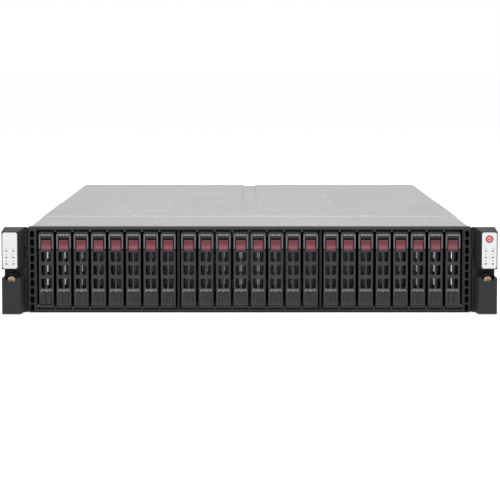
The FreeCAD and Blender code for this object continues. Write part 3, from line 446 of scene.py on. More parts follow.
def add_node(tree: Tree, kind: str, sockets: dict[str | int, object], **settings: object) -> bpy.types.Node:
    """Add a node with its settings, values and links.

    Args:
        tree: Node tree that it goes into.
        kind: Blender's name of the node.
        sockets: For each input, by name or number, its value or the output that is linked to it.
        settings: The node's own settings.

    Returns:
        The new node.
    """
    node = tree.nodes.new(kind)
    for name, value in settings.items():
        setattr(node, name, value)
    for name, value in sockets.items():
        if isinstance(value, Socket):
            tree.links.new(value, node.inputs[name])
        else:
            node.inputs[name].default_value = value
    return node


@dataclass(frozen=True)
class Finish:
    """A surface with a fine grain and a broad cloudiness, from which the other finishes are made."""

    name: str  # common name of the material and how its surface was made
    colour: str  # sRGB hex code
    shade: str  # its colour where it is darkest
    roughness: float  # mean, round which the grain varies it
    grain: float  # size of its grain in millimetres
    relief: float  # height of the grain in millimetres
    cloud: float = 40.0  # size of its broad patches in millimetres
    metallic: float = 0.0  # one for bare metal
    ior: float = 1.5  # refractive index of what isn't metal
    coat: float = 0.0  # weight of a clear coat
    gloss: float = 0.5  # how much of the usual reflection a fine texture leaves, where a half is all
    edge: str = "#ffffff"  # tint of a metal's reflection at a flat angle
    stretch: Triple = (1.0, 1.0, 1.0)  # how often the grain repeats along X, Y and Z, where one is even

    def material(self) -> bpy.types.Material:
        """Give the material, which is made when it is first asked for."""
        return bpy.data.materials.get(self.name) or self.make()

    def make(self) -> bpy.types.Material:
        """Build the material's nodes.

        Returns:
            The new material.
        """
        material = bpy.data.materials.new(self.name)
        material.use_nodes = True
        tree = material.node_tree
        tree.nodes.clear()
        place = add_node(tree, "ShaderNodeTexCoord", {}).outputs["Object"]
        drawn = add_node(tree, "ShaderNodeMapping", {"Vector": place, "Scale": self.stretch}).outputs["Vector"]
        grain = self.noise(tree, drawn, self.grain)
        low, high = NOISE_SPAN
        least, most = self.roughness * (1 - ROUGH_SPREAD), self.roughness * (1 + ROUGH_SPREAD)
        spread = {"From Min": low, "From Max": high, "To Min": least, "To Max": most}
        rough = add_node(tree, "ShaderNodeMapRange", {"Value": grain, **spread})
        bump = add_node(tree, "ShaderNodeBump", {"Height": grain, "Distance": self.relief * MM})
        surface = {
            "Base Color": self.tint(tree, place, grain),
            "Metallic": self.metallic,
            "Roughness": rough.outputs["Result"],
            "IOR": self.ior,
            "Normal": bump.outputs["Normal"],
            "Coat Weight": self.coat,
            "Specular IOR Level": self.gloss,
            "Specular Tint": linear(self.edge),
        }
        shader = add_node(tree, "ShaderNodeBsdfPrincipled", surface)
        add_node(tree, "ShaderNodeOutputMaterial", {"Surface": shader.outputs["BSDF"]})
        return material

    def noise(self, tree: Tree, vector: Socket, size: float) -> Socket:
        """Add noise of a size in millimetres and give its value."""
        sockets = {"Vector": vector, "Scale": 1 / (size * MM), "Detail": 3.0}
        return add_node(tree, "ShaderNodeTexNoise", sockets).outputs["Fac"]

    def tint(self, tree: Tree, place: Socket, grain: Socket) -> Socket:
        """Mix the colour and its shade by the grain and the broad patches.

        Args:
            tree: The material's nodes.
            place: Object coordinates.
            grain: The grain, from zero to one.

        Returns:
            The colour.
        """
        patches = self.noise(tree, place, self.cloud)
        total = add_node(tree, "ShaderNodeMath", {0: grain, 1: patches}, operation="ADD").outputs[0]
        low, high = NOISE_SPAN
        share = add_node(tree, "ShaderNodeMapRange", {"Value": total, "From Min": 2 * low, "From Max": 2 * high})
        sockets = {0: share.outputs["Result"], 6: linear(self.shade), 7: linear(self.colour)}
        return add_node(tree, "ShaderNodeMix", sockets, data_type="RGBA").outputs[2]


@dataclass(frozen=True)
class BoardFinish(Finish):
    """A circuit board with traces under its solder mask."""

    trace: str = "#2f6b45"  # colour of the mask over a trace
    pitch: float = 5.0  # spacing of the traces in millimetres
    width: float = 0.08  # share of that spacing that a trace takes up

    def tint(self, tree: Tree, place: Socket, grain: Socket) -> Socket:
        """Lay the traces as the joints of a brick pattern over the mask's colour.

        Args:
            tree: The material's nodes.
            place: Object coordinates.
            grain: The grain, from zero to one.

        Returns:
            The colour.
        """
        ground = super().tint(tree, place, grain)
        joints = {"Mortar": linear(self.trace), "Scale": 1 / (self.pitch * MM), "Mortar Size": self.width}
        sockets = {"Vector": place, "Color1": ground, "Color2": ground, **joints}
        return add_node(tree, "ShaderNodeTexBrick", sockets).outputs["Color"]


# Zinc-plated sheet steel: rolled, so it has a satin sheen with faint lines along the roll and cloudy patches.
SHEET_STEEL = Finish(
    "zinc_plated_sheet_steel", "#c6c6c6", "#b7b7b8", 0.36, 1.5, 0.006, 90, 1.0, edge="#c4c3c3", stretch=(1, 0.05, 1)
)
# Bright zinc on small fasteners: a little shinier and bluer than the sheet.
SCREW_ZINC = Finish("bright_zinc_plated_steel", "#d3d6da", "#c2c5c9", 0.24, 0.6, 0.004, 12, 1.0)
# Aluminium die casting and extrusion: pale, dull and slightly grainy.
ALUMINIUM = Finish("bead_blasted_aluminium", "#c4c6c8", "#b5b7ba", 0.42, 0.8, 0.008, 50, 1.0, edge="#d0d0d0")
# Anodised case of a disk: dark grey metal with a fine matt surface.
DISK_CASE = Finish("dark_anodised_aluminium", "#3a3b3d", "#303133", 0.4, 0.7, 0.006, 30, 1.0, edge="#b0b0b0")
# Powder coat on steel: near black, with the orange peel of the baked powder.
POWDER_COAT = Finish("black_powder_coated_steel", "#242425", "#1b1b1c", 0.42, 1.1, 0.02, 60, gloss=0.25)
# Spark-textured ABS of ears and handles: a matt charcoal that greys a little in the light.
EAR_PLASTIC = Finish("spark_textured_charcoal_abs", "#2f2f31", "#272729", 0.7, 0.7, 0.012, 45, gloss=0.28)
# Glass-filled nylon of the drive carriers: black and finely textured.
CARRIER_PLASTIC = Finish("glass_filled_black_nylon", "#2b2b2d", "#222224", 0.42, 0.8, 0.012, 30, gloss=0.35)
# The sunk faces of the levers are the same nylon, moulded smoother, so they look a step lighter.
FACE_PLASTIC = Finish("smooth_moulded_black_nylon", "#37353a", "#2f2d32", 0.42, 0.8, 0.008, 20, gloss=0.3)
# Painted highlight: the same nylon painted a lighter grey on the carriers' rims and the levers' step, where light
# catches them.
PAINTED_HIGHLIGHT_NYLON = Finish("black_nylon_painted_highlight", "#636366", "#58585b", 0.34, 0.8, 0.006, 20)
# The guides are the same nylon left a mid grey, so their rib tips show between the drives.
GUIDE_PLASTIC = Finish("moulded_grey_nylon", "#55575a", "#4b4d50", 0.55, 0.8, 0.01, 30, gloss=0.3)
# Release buttons: a muted wine-red polycarbonate with a satin moulded face.
BUTTON_RED = Finish("moulded_wine_red_polycarbonate", "#732f38", "#672831", 0.4, 0.8, 0.008, 20, ior=1.58, gloss=0.32)
# Panel plates: white polycarbonate sheet with a faint silky grain.
PANEL_WHITE = Finish("silky_white_polycarbonate", "#edeef0", "#e4e5e8", 0.4, 0.6, 0.004, 30, ior=1.58)
# Power button: glossy translucent red acrylic.
POWER_RED = Finish("glossy_red_acrylic", "#d0342f", "#bd2d29", 0.16, 0.8, 0.003, 10, ior=1.49, coat=0.4)
# Edge of a disk's tray: polished steel, which mirrors the daylight in front back through the slots.
DISK_EDGE = Finish("polished_stainless_steel", "#dcddde", "#d3d4d6", 0.07, 0.6, 0.0001, 40, 1.0)
# Small windows above a release button: frosted polycarbonate, pale grey when unlit.
FROST = Finish("frosted_clear_polycarbonate", "#b4b7bb", "#a5a8ad", 0.4, 0.5, 0.004, 10, ior=1.58)
# Lenses of the small lights: smoked acrylic, mid grey when unlit.
LENS = Finish("smoked_acrylic_lens", "#55595e", "#494d52", 0.2, 0.6, 0.002, 10, ior=1.49, coat=0.5)
# Printed marks on the plates: a thin grey ink.
INK = Finish("screen_printed_grey_ink", "#c9ccd1", "#bfc2c8", 0.55, 0.5, 0.002, 10)
# Captive screws: nickel-plated brass with a warm tone, turned and knurled.
SCREW_BRASS = Finish("turned_nickel_plated_brass", "#b5a188", "#957f69", 0.26, 0.5, 0.006, 8, 1.0, stretch=(1, 6, 1))
# Green solder mask over copper: glossy, with lighter traces.
BOARD = BoardFinish("green_solder_mask_on_laminate", "#1d4a2f", "#173d27", 0.3, 0.8, 0.006, 40, ior=1.55, coat=0.3)
# Painted shade: near-black sheets behind the vents that stand in for the darkness inside them.
PAINTED_SHADE_SHEET = Finish("black_painted_shade_sheet", "#070707", "#040404", 0.9, 1.2, 0.05, 15, gloss=0.05)
# Moulded epoxy of chips and sockets: dull black.
EPOXY = Finish("moulded_black_epoxy", "#151516", "#101011", 0.55, 0.6, 0.01, 15, ior=1.55, gloss=0.3)


def paint(piece: Piece, finishes: Sequence[Finish], choose: Callable[[Vector, Vector], int]) -> Piece:
    """Give the faces of a piece different finishes.

    Args:
        piece: The piece.
        finishes: The finishes.
        choose: Gives the number of a face's finish, for its middle in millimetres and its normal.

    Returns:
        The same piece.
    """
    for finish in finishes:
        piece.data.materials.append(finish.material())
    for face in piece.data.polygons:
        face.material_index = choose(face.center / MM, face.normal)
    return piece


def dress(piece: Piece, finish: Finish, body: str, slot: Slot, *nodes: str) -> Piece:
    """Give a finished piece its material and body, and let it stand for nodes.

    Args:
        piece: The piece.
        finish: What it is made of, unless it is painted.
        body: The body that it moves with.
        slot: The record's slot for its finish; not used.
        nodes: Nodes that it replaces.

    Returns:
        The same piece.
    """
    if not piece.data.materials:
        piece.data.materials.append(finish.material())
    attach(piece, body)
    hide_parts(*nodes)
    LOG.info("%s on %s, %d faces", piece.name, body, len(piece.data.polygons))
    return piece


def dress_both(right: Piece, kind: str, finish: Finish, body: str, slot: Slot) -> None:
    """Dress a piece of the right side and its mirror image on the left.

    Args:
        right: The piece.
        kind: Its name without the side.
        finish: What it is made of.
        body: The body that it moves with, with braces for the side where there are two.
        slot: The record's slot for its finish.
    """
    for side, piece in zip(SIDES, (twin_on_left(right), right)):
        piece.name = f"{side}_{kind}"
        dress(piece, finish, body.format(side), slot)


def redress(node: str, name: str, finish: Finish, body: str, slot: Slot, width: float, segments: int = 2) -> None:
    """Copy a node, round the copy's edges by a width and dress it in the node's place."""
    dress(soften(cad_copy(node, name), width, segments), finish, body, slot, node)


def coat(node: str, finish: Finish) -> None:
    """Give a node that stays in view a finish of its own."""
    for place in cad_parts[node].material_slots:
        place.material = finish.material()
    LOG.info("%s keeps its solid", node)


@dataclass
class DriveRow:
    """The row of drives, each with a carrier, a slotted lever, a release button, lights and a disk.

    Places are measured from the middle of a carrier's face, at its foot.
    """

    count: int = 24  # number of bays
    soft: float = 0.3  # rounding of a carrier's and a lever's edges
    rim: Pair = (1.4, 1.2)  # width of the raised rims beside a face, and height of the one above the button
    top_slope: float = 2.6  # width of the slope above the upper rim
    foot_round: float = 1.6  # rounding of a carrier's lower front edge
    sink: Pair = (2.0, 1.5)  # how far a carrier's face lies behind its rims, and reaches below its button
    recess: float = 0.7  # how far a lever's face lies behind its rims
    split: Pair = (4.0, 1.25)  # depth and height of the gap between a lever's top and the block above it
    undercut: Triple = (0.6, 1.3, 14.0)  # how far the sides step in behind the faces, and from where to where
    lever_depth: float = 4.5  # thickness of a lever
    slot: Triple = (0.8, 5.1, 10.0)  # inner and outer side of a slot from the lever's middle, and its height
    slot_foot: float = 19.15  # foot of the lowest slots
    slot_pitch: float = 13.15  # spacing of the slot rows
    slot_rows: int = 3  # number of slot rows
    slot_round: float = 2.05  # rounding of a slot's foot, of which its top has a third
    slot_margin: Pair = (0.7, 0.9)  # how far the plate that holds the slots reaches beside and above them
    step: Pair = (16.3, 2.2)  # foot and height of the step between the slots and the flutes
    slope: Pair = (0.15, 0.1)  # least share of the step's normal that points up, and forwards
    flute: Triple = (2.75, 2.6, 1.0)  # place of a flute across, radius of the tool that cuts it, and its depth
    flute_span: Pair = (3.6, 17.6)  # foot and top of the flutes
    flute_end: float = 0.9  # rounding of a flute's ends, as a share of the tool's radius
    scoop: Triple = (9.0, 0.7, 0.3)  # radius and depth of the hollow in a button, and how far it lies below its middle
    button_gap: Triple = (0.25, -0.55, 1.2)  # extra gap at the sides, the foot and the top of a button
    light_z: float = 72.0  # middle of the windows in the rim above the button
    light_y: Pair = (-0.08, 0.6)  # front and back of the windows
    light_sizes: tuple[Triple, ...] = ((-3.2, 1.2, 0.4), (0, 0.7, 0.5), (3.2, 1.2, 0.4))  # places, half sizes
    cheek: Triple = (5.6, 2.0, 8.0)  # inner side, foot and top of the hinge cheeks
    cheek_y: Pair = (0.2, 6.5)  # front and back of the hinge cheeks
    lip: Triple = (5.7, 0.8, 3.3)  # half width, depth and top of the lip before the first lever's foot
    apron: Triple = (5.0, 8.25, 10.3)  # inner side, foot and top of the thin aprons over the first lever's hinge
    apron_y: Pair = (0.05, 0.4)  # front and back of the aprons
    disk_panel: Triple = (3.0, 0.4, 0.5)  # inset and depth of the panels in a disk's sides, and its rounding
    edge: Triple = (1.15, 15.0, 58.0)  # half width, foot and top of the bright edge at a disk's front
    edge_y: Pair = (15.8, 17.3)  # front and back of the bright edge

    def __post_init__(self) -> None:
        """Read the first carrier's place from the frame."""
        low, high = corner("drive_01")
        self.origin = Vector(((low.x + high.x) / 2, low.y, low.z))
        self.half = (high.x - low.x) / 2
        self.height = high.z - low.z

    def at(self, x: float, y: float, z: float) -> Vector:
        """A place in the first bay, in millimetres of the whole."""
        return self.origin + Vector((x, y, z))

    def build(self) -> None:
        """Model a fixed drive and the first one, whose lever and button move, and fill every bay."""
        carrier, disk, lever, spare_button = self.shapes("drive_02")
        kinds = {
            "carrier": (self.carrier(carrier), CARRIER_PLASTIC, Slot.DRIVE_BODY),
            "lever": (self.lever(lever), CARRIER_PLASTIC, Slot.DRIVE_BODY),
            "button": (self.button(), BUTTON_RED, Slot.RELEASE_RED),
            "lights": (self.lights(), FROST, Slot.DRIVE_BODY),
            "disk": (self.disk(disk), DISK_CASE, Slot.DRIVE_BODY),
            "disk_edge": (self.spine(), DISK_EDGE, Slot.BARE_STEEL),
        }
        for bay in range(2, self.count + 1):
            node = f"drive_{bay:02d}"
            shift = corner(node)[0] - corner("drive_01")[0]
            for kind, (pattern, finish, slot) in kinds.items():
                copy = copy_to(pattern, f"bay_{bay:02d}_{kind}", (shift.x, 0, 0))
                dress(copy, finish, node, slot, *([node] if kind == "carrier" else []))
        carrier, spare_disk, pin = self.shapes("drive_01")
        for spare in (spare_button, spare_disk):
            bpy.data.objects.remove(spare)
        own = {
            "carrier": self.carrier(self.hinged(carrier)),
            "lever": self.aproned(self.lever(cad_copy("drive_01_lever", "lever"))),
        }
        for kind, piece in own.items():
            bpy.data.objects.remove(kinds[kind][0])
            kinds[kind] = (piece, *kinds[kind][1:])
        moving = {kind: f"drive_01_{kind}" for kind in ("lever", "button")}
        solid = {"carrier": "drive_01", **moving}
        for kind, (piece, finish, slot) in kinds.items():
            piece.name = f"bay_01_{kind}"
            dress(piece, finish, moving.get(kind, "drive_01"), slot, *([solid[kind]] if kind in solid else []))
        pin.name = "bay_01_lever_pin"
        dress(soften(pin, 0.1, 1), SCREW_ZINC, "drive_01", Slot.BARE_STEEL)

    def shapes(self, node: str) -> list[Piece]:
        """Take a drive apart and bring its shapes into the first bay.

        Args:
            node: The drive's node.

        Returns:
            Its shapes, the largest first.
        """
        shapes = loose_parts(cad_copy(node, "drive_shape"))
        shift = corner("drive_01")[0].x - corner(node)[0].x
        for shape in shapes:
            shape.data.transform(Matrix.Translation((shift * MM, 0, 0)))
        return shapes

    def hinged(self, carrier: Piece) -> Piece:
        """Fill out the hinge cheeks of the first carrier to its face, and raise the lip before its lever's foot.

        Args:
            carrier: The carrier's shape.

        Returns:
            The same shape.
        """
        inner, foot, top = self.cheek
        front, back = self.cheek_y
        for side in (-1, 1):
            fill(carrier, block("cheek", self.at(side * inner, front, foot), self.at(side * self.half, back, top)))
        half, deep, top = self.lip
        return fill(carrier, block("lip", self.at(-half, 0, foot), self.at(half, deep, top)))

    def carrier(self, carrier: Piece) -> Piece:
        """Shape a carrier's face: it lies behind a rim at its sides and top, whose front is painted lighter as a
        painted highlight.

        Args:
            carrier: The carrier's shape.

        Returns:
            The same shape.
        """
        for height, width, segments in ((self.height, self.top_slope, 1), (0, self.foot_round, 3)):
            bevel_edges(carrier, width, segments, crosses(self.at(0, 0, height)))
        edge, rim_top = self.half - self.rim[0], self.height - self.top_slope
        deep, drop = self.sink
        foot = corner("drive_01_button")[0].z - self.origin.z - drop
        face = block("face", self.at(-edge, -PAST, foot), self.at(edge, deep, rim_top - self.rim[1]))
        wide, (deep, tall) = self.half + PAST, self.split
        head = corner("drive_01_lever")[1].z - self.origin.z
        carve(carrier, face, block("split", self.at(-wide, -PAST, head), self.at(wide, deep, head + tall)))
        soften(self.undercut_sides(carrier), self.soft)

        def skin(spot: Vector, normal: Vector) -> Skin:
            """Choose the painted highlight for the rims' fronts and texture elsewhere."""
            # Painted highlight: the rims' front faces get a lighter grey than the rest of the nylon.
            rims = foot < spot.z < rim_top + NEAR and spot.y < PAST and normal.y < -FACING
            return Skin.PAINTED_HIGHLIGHT if rims else Skin.TEXTURED

        return self.paint_skins(carrier, skin)

    def undercut_sides(self, piece: Piece) -> Piece:
        """Step the sides of a carrier or a lever in behind its face, so that the gaps between drives look deep.

        Args:
            piece: The carrier or the lever.

        Returns:
            The same piece.
        """
        width, start, end = self.undercut
        for side in (-1, 1):
            inner = self.at(side * (self.half - width), start, -PAST)
            carve(piece, block("side", inner, self.at(side * (self.half + PAST), end, self.height + PAST)))
        return piece

    def paint_skins(self, piece: Piece, choose: Callable[[Vector, Vector], Skin]) -> Piece:
        """Paint a carrier or a lever by its faces' normals and places from the carrier's foot, with a painted
        highlight among its skins.
        """
        skins = (CARRIER_PLASTIC, PAINTED_HIGHLIGHT_NYLON, FACE_PLASTIC)
        return paint(piece, skins, lambda spot, normal: choose(spot - self.origin, normal))

    def disk(self, disk: Piece) -> Piece:
        """Shape the disk's case with sunk panels at both sides.

        Args:
            disk: The disk's shape.

        Returns:
            The same shape.
        """
        inset, deep, rounding = self.disk_panel
        with editing(disk):
            pick(disk, Element.FACE, lambda side: abs(side.normal.x) > FACING)
            bpy.ops.mesh.inset(thickness=inset * MM, depth=-deep * MM)
        return soften(disk, rounding)

    def spine(self) -> Piece:
        """Model the bright folded edge at a disk's front, which shows through the slots."""
        half, foot, head = self.edge
        front, back = self.edge_y
        return soften(block("disk_edge", self.at(-half, front, foot), self.at(half, back, head)), 0.15)

    def lever(self, lever: Piece) -> Piece:
        """Shape a slotted lever: round slot feet, a sunk face between rims, a step and two flutes.

        Args:
            lever: The lever's shape.

        Returns:
            The same shape.
        """
        self.slotted(lever)
        edge, (ledge, rise) = self.half - self.rim[0], self.step
        carve(lever, block("face", self.at(-edge, -PAST, ledge), self.at(edge, self.recess, self.height)))
        with editing(lever):
            pick(lever, Element.EDGE, crosses(self.at(0, self.recess, ledge)))
            bpy.ops.transform.translate(value=(0, 0, rise * MM))
        spread, radius, deep = self.flute
        foot, top = self.flute_span
        for side in (-1, 1):
            centre = self.at(side * spread, deep - radius, (foot + top) / 2)
            carve(lever, turned(Axis.Z, centre, (radius, top - foot, radius * self.flute_end), 32, 6))
        return self.paint_skins(soften(self.undercut_sides(lever), self.soft), self.lever_skin)

    def slotted(self, lever: Piece) -> None:
        """Give a lever slots with round feet in place of its plain ones.

        Its flat faces are parted at the middles of the slots first, so that no face gets a hole.

        Args:
            lever: The lever's shape.
        """
        inner, outer, tall = self.slot
        foot, rows = self.slot_foot, range(self.slot_rows)
        half, rise = outer + self.slot_margin[0], self.slot_margin[1]
        head = foot + rows[-1] * self.slot_pitch + tall + rise
        fill(lever, block("plate", self.at(-half, 0, foot - rise), self.at(half, self.lever_depth, head)))
        with editing(lever):
            bpy.ops.mesh.dissolve_limited(angle_limit=FLAT_ANGLE)
            for side in (-1, 1):
                bpy.ops.mesh.select_all(action="SELECT")
                spot = self.at(side * (inner + outer) / 2, 0, foot) * MM
                bpy.ops.mesh.bisect(plane_co=spot, plane_no=(1, 0, 0))
        slot = block("slot", self.at(inner, -PAST, foot), self.at(outer, self.lever_depth + PAST, foot + tall))
        for height, width in ((foot, self.slot_round), (foot + tall, self.slot_round / 3)):
            level = self.origin.z + height
            bevel_edges(slot, width, 5, lambda edge: along(edge, Axis.Y) and abs(middle(edge).z - level) < NEAR)
        shifts = [(across, 0, row * self.slot_pitch) for across in (0, -inner - outer) for row in rows]
        carve(lever, scatter("slots", slot, shifts))

    def aproned(self, lever: Piece) -> Piece:
        """Hang thin aprons in front of the first lever's hinge, which pass in front of the cheeks as it turns.

        Args:
            lever: The lever's shape.

        Returns:
            The same lever.
        """
        inner, foot, top = self.apron
        front, back = self.apron_y
        shapes = [lever]
        for side in (-1, 1):
            outer = self.at(side * (self.half - CLEAR), back, top)
            shapes.append(block("apron", self.at(side * inner, front, foot), outer))
            shapes[-1].data.materials.append(CARRIER_PLASTIC.material())
        return join("lever", shapes)

    def lever_skin(self, spot: Vector, normal: Vector) -> Skin:
        """Choose a painted highlight for a lever's upward-facing step, a smooth skin for its sunk face and texture
        elsewhere.

        Args:
            spot: The face's middle, from the carrier's foot.
            normal: The way it faces.

        Returns:
            The skin.
        """
        foot, rise = self.step
        up, forwards = self.slope
        # Painted highlight: the step's faces that point up get the lighter nylon, as if lit from above.
        if normal.z > up and normal.y < -forwards and foot < spot.z < foot + rise:
            return Skin.PAINTED_HIGHLIGHT
        sunk = normal.y < -FACING and spot.y > self.recess - NEAR and spot.z > foot
        return Skin.SMOOTH if sunk else Skin.TEXTURED

    def button(self) -> Piece:
        """Shape the release button with a finger hollow and a shadow gap round it.

        Returns:
            The button.
        """
        low, high = corner("drive_01_button")
        side, foot, top = self.button_gap
        button = block("button", low + Vector((side, 0, foot)), high - Vector((side, 0, top)))
        radius, deep, drop = self.scoop
        centre = ((low.x + high.x) / 2, low.y + deep - radius, (low.z + high.z) / 2 - drop)
        carve(button, rod("scoop", Axis.X, centre, radius, 2 * (high.x - low.x), 96))
        return soften(button, 0.5, 3)

    def lights(self) -> Piece:
        """Shape the two small windows in the rim above the button, and the short bar between them.

        Returns:
            The windows as one piece.
        """
        shapes = []
        front, back = self.light_y
        for across, half, tall in self.light_sizes:
            low = self.at(across - half, front, self.light_z - tall)
            shapes.append(soften(block("light", low, self.at(across + half, back, self.light_z + tall)), 0.1))
        return join("lights", shapes)


@dataclass
class FrontFrame:
    """Frame round the drives, with its vents, its foot step and the clips in its lower corners."""

    window: Triple = (208.9, 3.9, 82.15)  # half width, foot and top of the opening for the drives
    vent: Triple = (3.6, 6.4, 1.1)  # width, height and corner rounding of a vent
    vent_middle: float = 213.4  # middle of the server to the middle of a column of vents
    vent_foot: float = 5.1  # middle of the lowest vent
    vent_pitch: float = 8.06  # spacing of the vents
    vent_rows: int = 10  # number of vents on top of each other
    skin: float = 1.6  # thickness of the frame round the vents
    hollow: Triple = (2.1, 1.9, 81.5)  # half width, foot and top of the hollow behind a column of vents
    shade_sheet: Triple = (2.6, 0.8, 0.1)  # half width of the painted-shade sheet in it, and its front and back from the frame's back
    shade_sheet_end: float = 2.0  # ends of the frame to the ends of that sheet
    step: Pair = (4.0, 1.5)  # depth and height of the step along the foot
    tilt: Pair = (0.95, 82.4)  # how far the upper rail's face leans back, and where that starts
    clip: tuple[Triple, Triple] = ((206.9, 0.6, 5.6), (208.6, 4.6, 8.4))  # corners, from the frame's face
    clip_round: float = 1.6  # rounding of a clip's top
    nose: Triple = (1.6, 9.4, 2.0)  # width, length and height of the noses of the guides
    nose_lap: Pair = (0.2, 0.1)  # how far an upper nose reaches below a carrier's top, and a lower one stands off
    nose_round: float = 0.7  # rounding of a nose's tip

    def build(self) -> None:
        """Model and dress the frame, its clips, noses and the near-black sheets of painted shade behind its vents, and
        coat the guides and walls behind it.
        """
        low, high = corner("front_frame")
        half, foot, top = self.window
        deep, tall = self.step
        shape = block("front_bezel", low, high)
        carve(shape, block("window", (-half, low.y - PAST, foot), (half, high.y + PAST, top)))
        start = (low.x - PAST, low.y - PAST, low.z - PAST)
        carve(shape, block("step", start, (high.x + PAST, low.y + deep, tall)), self.wedge())
        half, foot, top = self.hollow
        near, far = self.vent_middle - half, self.vent_middle + half
        hollow = block("hollow", (near, low.y + self.skin, foot), (far, high.y + PAST, top))
        for cutter in (hollow, self.vents()):
            carve(shape, twin_on_left(cutter), cutter)
        dress(soften(shape, 0.45), POWDER_COAT, "chassis", Slot.BLACK_METAL, "front_frame")
        self.clips_and_shade_sheets(high.y)
        self.noses()
        coat("bay_guides", GUIDE_PLASTIC)
        coat("bay_partitions", POWDER_COAT)

    def wedge(self) -> Piece:
        """Shape what is cut off so that the upper rail leans back.

        Returns:
            The cutter.
        """
        low, high = corner("front_frame")
        lean, foot = self.tilt
        wedge = block("wedge", (low.x - PAST, low.y - 2 * PAST, foot), (high.x + PAST, low.y + lean, TOP + PAST / 2))
        with editing(wedge):
            pick(wedge, Element.EDGE, crosses(Vector((0, low.y + lean, foot))))
            bpy.ops.transform.translate(value=(0, -lean * MM, 0))
        return wedge

    def vents(self) -> Piece:
        """Shape the right column of vents.

        Returns:
            The cutter.
        """
        wide, tall, rounding = self.vent
        start = (self.vent_middle - wide / 2, FRONT - PAST, self.vent_foot - tall / 2)
        end = (self.vent_middle + wide / 2, FRONT + self.skin + PAST, self.vent_foot + tall / 2)
        vent = bevel_edges(block("vent", start, end), rounding, 4, lambda edge: along(edge, Axis.Y))
        return scatter("vents", vent, [(0, 0, row * self.vent_pitch) for row in range(self.vent_rows)])

    def clips_and_shade_sheets(self, rear: float) -> None:
        """Set the clips in the lower corners, and near-black sheets behind the vents as painted shade.

        Args:
            rear: Back of the frame.
        """
        (near, front, foot), (far, back, top) = self.clip
        clip = block("clip", (near, FRONT + front, foot), (far, FRONT + back, top))
        bevel_edges(clip, self.clip_round, 2, lambda edge: along(edge, Axis.X) and middle(edge).z > top - NEAR)
        dress_both(soften(clip, 0.2), "clip", GUIDE_PLASTIC, "chassis", Slot.BLACK_PLASTIC)
        half, front, back = self.shade_sheet
        near, far, end = self.vent_middle - half, self.vent_middle + half, self.shade_sheet_end
        # Painted shade: a near-black sheet behind each column of vents, where there is only shade.
        shade_sheet = block("shade_sheet", (near, rear - front, end), (far, rear - back, TOP - end))
        dress_both(soften(shade_sheet, 0.2, 1), "vent_shade_sheet", PAINTED_SHADE_SHEET, "chassis", Slot.BLACK_PLASTIC)

    def noses(self) -> None:
        """Set the small noses of the guides at the top and the foot of the gaps between the drives."""
        wide, long, tall = self.nose
        lap, gap = self.nose_lap
        back = corner("bay_guides")[0].y
        foot, low_foot = corner("drive_01")[1].z - lap, self.window[1] + gap
        nose = block("nose", (-wide / 2, back - long, foot), (wide / 2, back + lap, foot + tall))
        tip = back - long + NEAR
        bevel_edges(nose, self.nose_round, 3, lambda edge: along(edge, Axis.X) and middle(edge).y < tip)
        sides = [corner(f"drive_{bay:02d}") for bay in range(1, DriveRow.count + 1)]
        gaps = [((left[1].x + right[0].x) / 2, right[0].x - left[1].x) for left, right in zip(sides, sides[1:])]
        least = min(width for _, width in gaps)
        places = [(x, 0, rise) for x, width in gaps if width < least + NEAR for rise in (0, low_foot - foot)]
        dress(scatter("guide_noses", soften(nose, 0.2), places), GUIDE_PLASTIC, "chassis", Slot.BLACK_PLASTIC)


